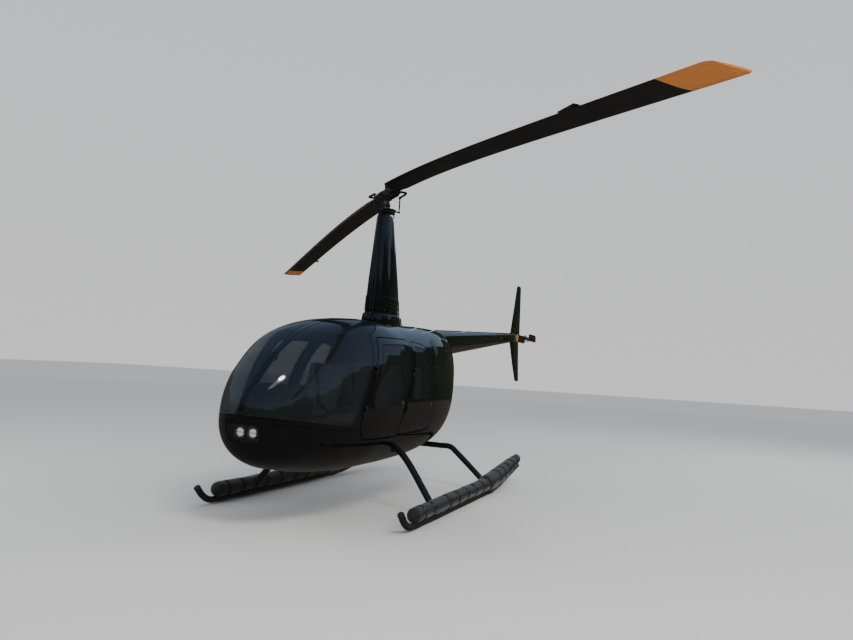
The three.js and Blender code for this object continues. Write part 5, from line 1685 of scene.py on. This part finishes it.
def blown_pad(long, wide, thick, voxel, most, channels, shrink=9.0):
    """A pad about the origin: long in x, wide in y, with its crown up; millimetres in and out."""
    half = np.array([long, wide, thick]) / 2 - shrink
    points, faces = block(-half, half, min(22, half[2] * 0.6), 4)
    mesh = bpy.data.meshes.new("pattern")
    mesh.from_pydata((np.asarray(points) / 1000).tolist(), [], [list(map(int, f)) for f in faces])
    pad = bpy.data.objects.new("pattern", mesh)
    scene.collection.objects.link(pad)
    net = pad.modifiers.new("net", "REMESH")
    net.mode, net.voxel_size = "VOXEL", voxel / 1000

    def settled():
        graph = bpy.context.evaluated_depsgraph_get()
        return bpy.data.meshes.new_from_object(pad.evaluated_get(graph))

    pad.data = settled()
    pad.modifiers.clear()
    start = np.array([v.co for v in pad.data.vertices])
    air = pad.modifiers.new("air", "CLOTH")
    air.settings.use_pressure = True
    air.settings.uniform_pressure_force = 4
    air.settings.effector_weights.gravity = 0
    air.point_cache.frame_start, air.point_cache.frame_end = 1, 20
    for shot in range(1, 21):
        scene.frame_set(shot)
    moved = np.array([v.co for v in settled().vertices]) - start
    far = np.linalg.norm(moved, axis=1)
    swollen = start + moved * np.minimum(1, most / 1000 / np.maximum(far, 1e-9))[:, None]
    scene.frame_set(1)
    pad.modifiers.clear()
    pad.data.vertices.foreach_set("co", swollen.ravel())
    pad.modifiers.new("finer", "SUBSURF").levels = 1
    done = settled()
    points = np.array([v.co for v in done.vertices]) * 1000
    faces = [list(p.vertices) for p in done.polygons]
    bpy.data.objects.remove(pad)
    # each sewn channel is a narrow valley in the crown
    for way, at in channels:
        across = points[:, way]
        on_top = np.clip(points[:, 2] / (thick / 2), 0, 1)
        points[:, 2] -= 7.0 * np.exp(-((across - at) / 7.0)**2) * on_top
    return points, faces


def tree_of(shape):
    return BVHTree.FromPolygons([Vector(p) for p in np.asarray(shape[0])], shape[1])


def laid_on(shape, path, lift=2.0):
    """Drops a path, in the pad's own x and y, on to its crown."""
    tree, out = tree_of(shape), []
    for x, y in path:
        hit = tree.ray_cast(Vector((x, y, 500)), Vector((0, 0, -1)))[0]
        if hit is not None:
            out.append((x, y, hit.z + lift))
    return np.array(out)


def piped_edge(shape, long, wide, inset=26):
    """Piping that follows the crown's edge, and a line of stitches just inside it."""
    a, b, r = long / 2 - inset, wide / 2 - inset, 34
    loop = []
    for cx, cy, t0 in ((a - r, b - r, 0), (r - a, b - r, 90), (r - a, r - b, 180), (a - r, r - b, 270)):
        loop += [(cx + r * math.cos(math.radians(t0 + t)), cy + r * math.sin(math.radians(t0 + t)))
                 for t in range(0, 91, 15)]
    loop.append(loop[0])
    dense = []
    for p, q in zip(loop[:-1], loop[1:]):
        steps = max(1, int(math.dist(p, q) / 12))
        dense += [(p[0] + (q[0] - p[0]) * k / steps, p[1] + (q[1] - p[1]) * k / steps)
                  for k in range(steps)]
    dense.append(dense[0])
    rope = laid_on(shape, dense, 0.5)
    stitches = laid_on(shape, [(x * 0.965, y * 0.965) for x, y in dense], 0.4)
    threads = [pipe([p, p + (q - p) * 0.55], 0.7, 5) for p, q in zip(stitches[:-1], stitches[1:])]
    return pipe(rope, 3.6, 10), joined(*threads)


def strap_over(shape, path, wide=46, lift=2.2):
    """A flat strap laid over a pad along a path in its own x and y. It bridges the sewn channels."""
    rows, points = laid_on(shape, path, lift), np.asarray(shape[0])
    crown = points[points[:, 2] > 0]
    tall = [crown[np.hypot(crown[:, 0] - x, crown[:, 1] - y) < 0.75 * wide, 2].max() + lift
            for x, y, _ in rows]
    rows[:, 2] = np.convolve(np.pad(tall, 4, mode="edge"), np.full(9, 1 / 9), mode="valid")
    rings = []
    for k, p in enumerate(rows):
        along = rows[min(k + 1, len(rows) - 1)] - rows[max(k - 1, 0)]
        along /= np.linalg.norm(along)
        side = np.cross(along, (0, 0, 1.0))
        side /= np.linalg.norm(side)
        over = np.cross(side, along)
        rings.append([p + side * s * wide / 2 + over * h
                      for s, h in ((1, 0), (1, 1.8), (-1, 1.8), (-1, 0))])
    return lofted(np.array(rings))


def leaned(shape, at, lean):
    """Stands a pad up on its lower edge with its crown forward, leaning aft by so many degrees."""
    points = np.asarray(shape[0], float)
    t = math.radians(lean)
    up, forward = np.array([-math.sin(t), 0, math.cos(t)]), np.array([math.cos(t), 0, math.sin(t)])
    return np.asarray(at) + points[:, :1] * up + points[:, 1:2] * (0, 1, 0) + points[:, 2:3] * forward, [
        list(f)[::-1] for f in shape[1]]


def shifted(shape, at):
    return np.asarray(shape[0], float) + np.asarray(at, float), shape[1]


thread = finish("seat_thread", ((0.30, 0.30, 0.30), (0.42, 0.42, 0.41)), (0.6, 0.8),
                (2500, 0.4, 0.0002), 90)
print("pads are blown")

# %% Seats in place
def middle_of(node):
    """The middle of a solid's box, in this file's millimetres."""
    low, high = (np.array(corner, float) * 1000 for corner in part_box(node))
    return (low + high) / 2 - (MAST_X, 0, 0)


# length, width, thickness, voxel, cap, channels (1 runs along, 0 across), lean, belts as start, step
SEATS = {
    "front_cushion": (430, 452, 86, 9, 20, ((1, -95), (1, 95), (0, -30)), None, [((-190, 130), (6, -1.4))]),
    "front_back": (590, 448, 74, 9, 18, ((1, -92), (1, 92), (0, 40)), 20, [((270, 125), (-8, -2.6))]),
    "rear_cushion": (420, 1032, 82, 12, 18, ((1, 0), (1, -250), (1, 250), (0, -20)), None,
                     [((-180, -280), (6, 0.6)), ((-180, 290), (6, -0.6))]),
    "rear_back": (560, 992, 66, 12, 16, ((1, 0), (1, -240), (1, 240), (0, 30)), 0,
                  [((250, -350), (-8, 1.8)), ((250, 250), (-8, 1.8))]),
}
for name, (long, wide, thick, voxel, most, channels, lean, belts) in SEATS.items():
    pad = blown_pad(long, wide, thick, voxel, most, channels, 11)
    rope, stitches = piped_edge(pad, long, wide)
    straps = joined(*[strap_over(pad, [(x + a * k, y + b * k) for k in range(58)])
                      for (x, y), (a, b) in belts])
    for side in (("left", "right") if name.startswith("front") else ("",)):
        tag = f"{name}_{side}" if side else name
        at = middle_of(f"{name}_left" if side else name)
        parts = [shifted(s, at) if lean is None else leaned(s, at, lean)
                 for s in (pad, rope, stitches, straps)]
        cover, cord, sewn, belt = [mirrored(s) if side == "right" else s for s in parts]
        piece(f"{tag}_cover", cover, seat_hide, stands_for=tag, crease=0)
        piece(f"{tag}_piping", cord, piping_hide)
        piece(f"{tag}_stitching", sewn, thread)
        piece(f"{tag}_belt", belt, webbing)
    crown = round(float(pad[0][:, 2].max()))
    print(name, "points", len(pad[0]), "crown stands", crown, "mm over its middle")

# %% [markdown]
# ## Instruments and controls
# A slim pedestal carries a panel that leans back towards the crew under a hood that keeps the sun
# off the dials. Each dial is a turned bezel, a dark face with plain tick marks, a needle and a glass.
# Everything on the panel is made flat at the origin and then set on the panel's own slope.

# %% Console
def slab_ring(back, front, half, z, soft=26):
    corners = [(back, -half), (front, -half), (front, half), (back, half)]
    ring = []
    for (x, y), start in zip(corners, (180, 270, 0, 90)):
        inward = np.array([1 if x == back else -1, 1 if y < 0 else -1]) * soft
        ring += [(x + inward[0] + soft * math.cos(t), y + inward[1] + soft * math.sin(t), z)
                 for t in np.radians([start, start + 30, start + 60, start + 90])]
    return ring


panel_coat = finish("panel_black", ((0.010, 0.010, 0.011), (0.020, 0.020, 0.021)), (0.55, 0.75),
                    (600, 0.5, 0.0006), 40)
marking = finish("dial_marking", ((0.60, 0.60, 0.58), (0.72, 0.72, 0.70)), (0.5, 0.6),
                 (900, 0.1, 0.0001), 30)
rows = [(1620, 2080, 130, 662.3), (1622, 2078, 130, 668), (1640, 2060, 125, 890), (1650, 2059, 128, 905),
        (1722, 2050, 200, 948), (1732, 2049, 205, 962), (1786, 2032, 201, 1160), (1776, 2034, 203, 1166),
        (1758, 2036, 204, 1176), (1790, 2030, 198, 1180)]
piece("console_shell", lofted(np.array([slab_ring(*r) for r in rows], float)), panel_coat,
      stands_for="instrument_console", crease=30)
SLOPE = np.array([60, 0, 220.0]) / math.hypot(60, 220)
OUT = np.array([-SLOPE[2], 0, SLOPE[0]])


def on_panel(shape, across, up):
    at = np.array([1732, across, 962.0]) + SLOPE * up + OUT * 0.5
    return posed(shape, at, (0, -1, 0), OUT)


def dial(size, needle):
    ticks = [posed(block((size * 0.72, -0.8, 0), (size * 0.88, 0.8, 0.5), 0.2, 1), (0, 0, 3.2),
                   (math.cos(t), math.sin(t), 0), (0, 0, 1)) for t in np.radians(range(-60, 241, 25))]
    hand = posed(block((-size * 0.15, -1.1, 0), (size * 0.66, 1.1, 0.8), 0.3, 1), (0, 0, 4.6),
                 (math.cos(needle), math.sin(needle), 0), (0, 0, 1))
    rim = upright([(size, 3), (size, 6), (size + 4, 8), (size + 7, 6), (size + 7, -1)], 36)
    face = upright([(size, 3), (0, 3)], 36)
    glass = upright([(size, 6.2), (size * 0.5, 6.8), (0, 7)], 36)
    return joined(rim, face), joined(*ticks, hand), glass


DIALS = [(-142, 150, 34, 2.2), (-50, 150, 34, 0.4), (50, 150, 34, 1.3), (142, 150, 34, 3.0),
         (-142, 62, 34, 1.0), (-50, 62, 34, 2.6), (50, 62, 34, 1.7), (142, 62, 26, 0.2)]
made = [(dial(size, needle), across, up) for across, up, size, needle in DIALS]
for k, (name, coat, slot) in enumerate((("dial_bezels", satin_black, "trim"),
                                        ("dial_markings", marking, "trim"),
                                        ("dial_glasses", clear_acrylic, "glass"))):
    piece(name, joined(*[on_panel(shapes[k], across, up) for shapes, across, up in made]), coat)
stack, knobs = [], []
for k, z in enumerate((700, 756, 812, 868)):
    x = 1620 + 20 * (z - 662) / 238 - 3
    stack.append(block((x - 5, -92, z - 24), (x + 6, 92, z + 24), 3))
    knobs += [lathe([(9, 0), (9, 12), (7, 14), (0, 14)], (x - 5, y, z), (-1, 0, 0), 20) for y in (-74, 74)]
    knobs += [block((x - 10, y - 7, z - 15), (x - 4, y + 7, z - 7), 2) for y in (-42, -21, 0, 21, 42)]
piece("radio_stack", joined(*stack), satin_black)
piece("radio_knobs", joined(*knobs), rubber)
COMPASS_AT = (2010, 0, 1395)
case = lathe([(0, -24), (20, -22), (27, -10), (27, 14), (20, 24), (0, 26)], COMPASS_AT, (1, 0, 0), 28)
compass_face = lathe([(21, -23.5), (19, -26), (0, -27)], COMPASS_AT, (1, 0, 0), 28)
compass_arm = pipe([(2016, 0, 1420), (2024, 0, 1446)], 5, 12)
piece("post_compass", joined(case, compass_arm), satin_black)
# the compass face glows a little, a painted glint
piece("post_compass_face", compass_face, painted_glow_glass)
print("dials", len(DIALS))

# %% Controls
STICK_X, BAR_Z = 1330, 1140
stem = curve([(STICK_X, 0, 682), (1345, 0, 900), (1370, 0, 1060), (STICK_X, 0, BAR_Z)], 14)
boot = [(45 - 23 * k / 9 + (3.5 if k % 2 else -1.5), 662.3 + 50 * k / 9 - 662) for k in range(10)]
piece("cyclic_boot", upright(boot, 32, (STICK_X, 0, 662)), rubber)
cross_bar = pipe([(STICK_X, -300, BAR_Z), (STICK_X, 300, BAR_Z)], 12, 20)
boss = lathe([(17, -26), (21, -22), (21, 22), (17, 26)], (STICK_X, 0, BAR_Z), (0, 1, 0), 24)
piece("cyclic_tube", joined(pipe(stem, 16, 20), cross_bar, boss), bare_steel,
      stands_for="cyclic_stick")
# radius and height of a grip, from its lower end
SWELL = [(12, 0), (17, 4), (18.5, 22), (16, 42), (18, 60), (16, 80), (19, 98), (15, 114), (0, 117)]
grips = [upright(SWELL, 24, (STICK_X, side * 300, 1048)) for side in (1, -1)]
piece("cyclic_grips", joined(*grips), rubber)
lever = curve([(930, 0, 872), (1010, 0, 905), (1110, 0, 956), (1190, 0, 1000)], 10)
lever_foot = pipe([(880, 0, 816), (930, 0, 872)], 14, 18)
piece("collective_lever", joined(pipe(lever, 12, 18), lever_foot), satin_black)
piece("collective_grip", pipe([lever[-14], lever[-1]], [16, 17], 20), rubber)
pedals = []
for y in (-290, -180, 180, 290):
    pedals += [pipe([(1990, y, 664), (1975, y, 716), (1945, y, 762)], 7, 12),
               posed(block((-38, -26, -4), (38, 26, 4), 3), (1942, y, 770), (0.45, 0, 0.9), (-0.9, 0, 0.45))]
piece("pedals", joined(*pedals), bare_steel)
print("controls in place")

# %% [markdown]
# ## Landing lamps
# Two round lamps stand on a dark plate behind a clear window in the nose. Each is a polished bowl
# with a bulb, a lens and a bar across it. Polished metal mirrors the dark room, so the bowl alone
# would look black. The lens is rippled and glows a little as painted sparkle, so the lamp is seen.

# %% Lamps
bowls, lenses, bars, rings = [], [], [], []
for y in (-57.5, 57.5):
    at = (2294, y, LAMP_Z)
    bowls.append(lathe([(0, 6), (14, 7), (26, 12), (38, 26), (46, 44), (49, 46), (49, 40)], at,
                       (1, 0, 0), 24))
    lenses.append(lathe([(45.5, 40), (30, 43.5), (0, 45)], at, (1, 0, 0), 36))
    rings.append(lathe([(45, 43), (47, 47.5), (50, 46.5), (51, 38), (50, 20)], at, (1, 0, 0), 36))
    bars.append(block((2332, y - 47, LAMP_Z - 3), (2339, y + 47, LAMP_Z + 3), 2))
    bowls.append(lathe([(0, 30), (5, 29), (6, 22), (6, 8)], at, (1, 0, 0), 16))
low, high = (np.array(c) * 1000 - (MAST_X, 0, 0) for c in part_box("landing_lamps"))
plate = block((2284, low[1], low[2]), (2297, high[1], high[2]), 4)
piece("lamp_plate", plate, satin_black, stands_for="landing_lamps")
piece("lamp_bowls", joined(*bowls), mirror_metal)
# the lenses glow a little, a painted sparkle
piece("lamp_lenses", joined(*lenses), painted_glow_glass)
piece("lamp_rings", joined(*rings), bare_steel)
piece("lamp_bars", joined(*bars), satin_black)

# %% [markdown]
# ## Hinges, handles and catches
# Each door hangs on two outside hinges. The leaves on the frame stay, and the leaf on the door
# rides with the door. Handles are small turned levers in a dished plate.

# %% Hinges
HINGE_AXIS = {"front": (0.464574, -0.005898, -0.885515), "rear": (0.466378, 0.030241, -0.884068)}
REACH_OUT = {"front": 619.065, "rear": 658.573}


def hinge_leaf(own):
    """A leaf about the pin: the door's has one knuckle in the middle, the frame's has the two outer."""
    if own:
        return joined(lathe([(3, -15), (7, -14.5), (7, 14.5), (3, 15)], (0, 0, 0), (1, 0, 0), 20),
                      block((-15, 4, -26), (15, 20, 3), 2))
    return joined(*[joined(lathe([(3, a), (7, a + 0.5), (7, b - 0.5), (3, b)], (0, 0, 0), (1, 0, 0), 20),
                           block((a, -20, -26), (b, -4, 3), 2)) for a, b in ((-45, -15.3), (15.3, 45))])


PIN = lathe([(0, -48), (5, -47), (5, -44), (3, -43), (3, 43), (5, 44), (5, 47), (0, 48)],
            (0, 0, 0), (1, 0, 0), 14)


for name, door in DOORS.items():
    (x0, z0), (x1, z1) = door["hinges"]
    first = np.array([x0, REACH_OUT[name], z0])
    axis = np.array(HINGE_AXIS[name])
    second = first + axis * ((x1 - x0) / axis[0])
    for own, body_of in ((True, "door_{}_{}"), (False, "airframe")):
        leaves = joined(*[posed(hinge_leaf(own), at, axis, (0, 1, 0)) for at in (first, second)])
        for side, shape in (("left", leaves), ("right", mirrored(leaves))):
            piece(f"{name}_{side}_{'door' if own else 'frame'}_leaves", shape, satin_black,
                  body_of.format(name, side))
    pins = joined(*[posed(PIN, at, axis, (0, 1, 0)) for at in (first, second)])
    piece(f"{name}_hinge_pins", both_sides(pins), zinc_plate)
print("hinges", 2 * sum(len(door["hinges"]) for door in DOORS.values()))

# %% Handles, catches and latches
handle_shape = joined(upright([(24, -1), (24, 1.5), (20, 2.6), (17, 1), (0, 1)], 32),
                      block((-14, -6, 1), (58, 6, 8), 3, 3),
                      upright([(9, 1), (9, 9), (7, 10), (0, 10)], 20))
for name, x, z in (("front", 773, 1042), ("rear", -8, 1010)):
    at, normal = side_point(x, z, 1, 0.4)
    shape = posed(handle_shape, at, (1, 0, 0.1), normal)
    for side, one in (("left", shape), ("right", mirrored(shape))):
        piece(f"{name}_{side}_handle", one, zinc_plate, f"door_{name}_{side}")
CATCHES = [(-1000, 720), (-1000, 980), (-1000, 1240), (-1000, 1465), (-220, 740), (-220, 1050),
           (-220, 1400), (-620, 700), (-660, 1465)]
catch_spots = [side_point(x, z, 1, 0.4) for x, z in CATCHES]
catches = many(TURN_CATCH, catch_spots)
piece("cowl_catches", both_sides(catches), zinc_plate)
cap_at, cap_normal = side_point(-760, 1560, 1, 0.5)
cap = posed(upright([(46, -1), (46, 3), (40, 6), (18, 7), (16, 11), (0, 11)], 36),
            cap_at, (1, 0, 0), cap_normal)
piece("fuel_caps", both_sides(cap), satin_black)
# raised slats high on the side cowl, one above the next
slats = []
for k in range(9):
    at, normal = side_point(-300 - 14 * k, 1530 + 19 * k, 1, 0.6)
    slats.append(posed(block((-95, -6, -1), (95, 6, 5), 2.4, 2), at, (1, 0, -0.35), normal))
piece("cowl_slats", both_sides(joined(*slats)), gloss_black)
print("catches", 2 * len(catch_spots), "slats", 2 * len(slats))

# %% [markdown]
# ## Aerials
# White whips stand in cones along the top. A whip is a thin taper, and it leans aft.

# %% Aerials
aerial_white = finish("aerial_white", ((0.72, 0.72, 0.70), (0.84, 0.84, 0.82)), (0.35, 0.5),
                      (700, 0.2, 0.0002), 30)
# station, length, and lean aft in degrees
WHIPS = [(-1075, 330, 21), (-1665, 470, 32), (-2940, 470, 30)]
for k, (x, long, lean) in enumerate(WHIPS, 1):
    top = 1862 if x > BOOM_X0 else sum(boom_at(x))
    t = math.radians(lean)
    tip = np.array([x - long * math.sin(t), 0, top + 8 + long * math.cos(t)])
    root = np.array([x, 0, top + 8.0])
    path = [root + (tip - root) * w for w in np.linspace(0, 1, 12)]
    base = lathe([(25, -6), (24, 0), (20, 4), (13, 22), (9.5, 36), (8, 42), (0, 42)], (x, 0, top - 4),
                 (-0.12, 0, 1), 32)
    piece(f"aerial_{k}_whip", pipe(np.array(path), np.linspace(6.6, 3.6, 12), 16), aerial_white,
          stands_for=f"aerial_{k}")
    piece(f"aerial_{k}_base", base, aerial_white)

# %% [markdown]
# ## Engine bay
# The cooling fan blows through a round opening at the back, behind a wire guard. The muffler and its
# pipe hang below. The solids keep their mesh here, and steel that has been hot gets its own finish.

# %% Fan, guard, engine and muffler
recoat("cooling_fan", cast_metal)
recoat("engine_block", cast_metal)
recoat("muffler", hot_steel)
GUARD_X = TAIL_X + 6      # the wires stand just inside the mouth
MUFFLER_X, MUFFLER_Z = -930, 634


def on_guard(r, t):
    return GUARD_X, r * math.cos(t), FAN_Z + r * math.sin(t)


guard = [pipe(curve([on_guard(r, t) for t in circle(40)], 2, True), 2.2, 8)
         for r in (60, 105, 150, 195, 238)]
guard += [pipe([on_guard(r, t) for r in (40, 240)], 2.6, 8) for t in circle(8)]
piece("fan_guard", joined(*guard), bare_steel)
clamp = [lathe([(53, -9), (56, -7), (56, 7), (53, 9)], (MUFFLER_X, y, MUFFLER_Z), (0, 1, 0), 40)
         for y in (-120, 0, 120)]
piece("muffler_clamps", joined(*clamp), zinc_plate)
print("engine bay done")
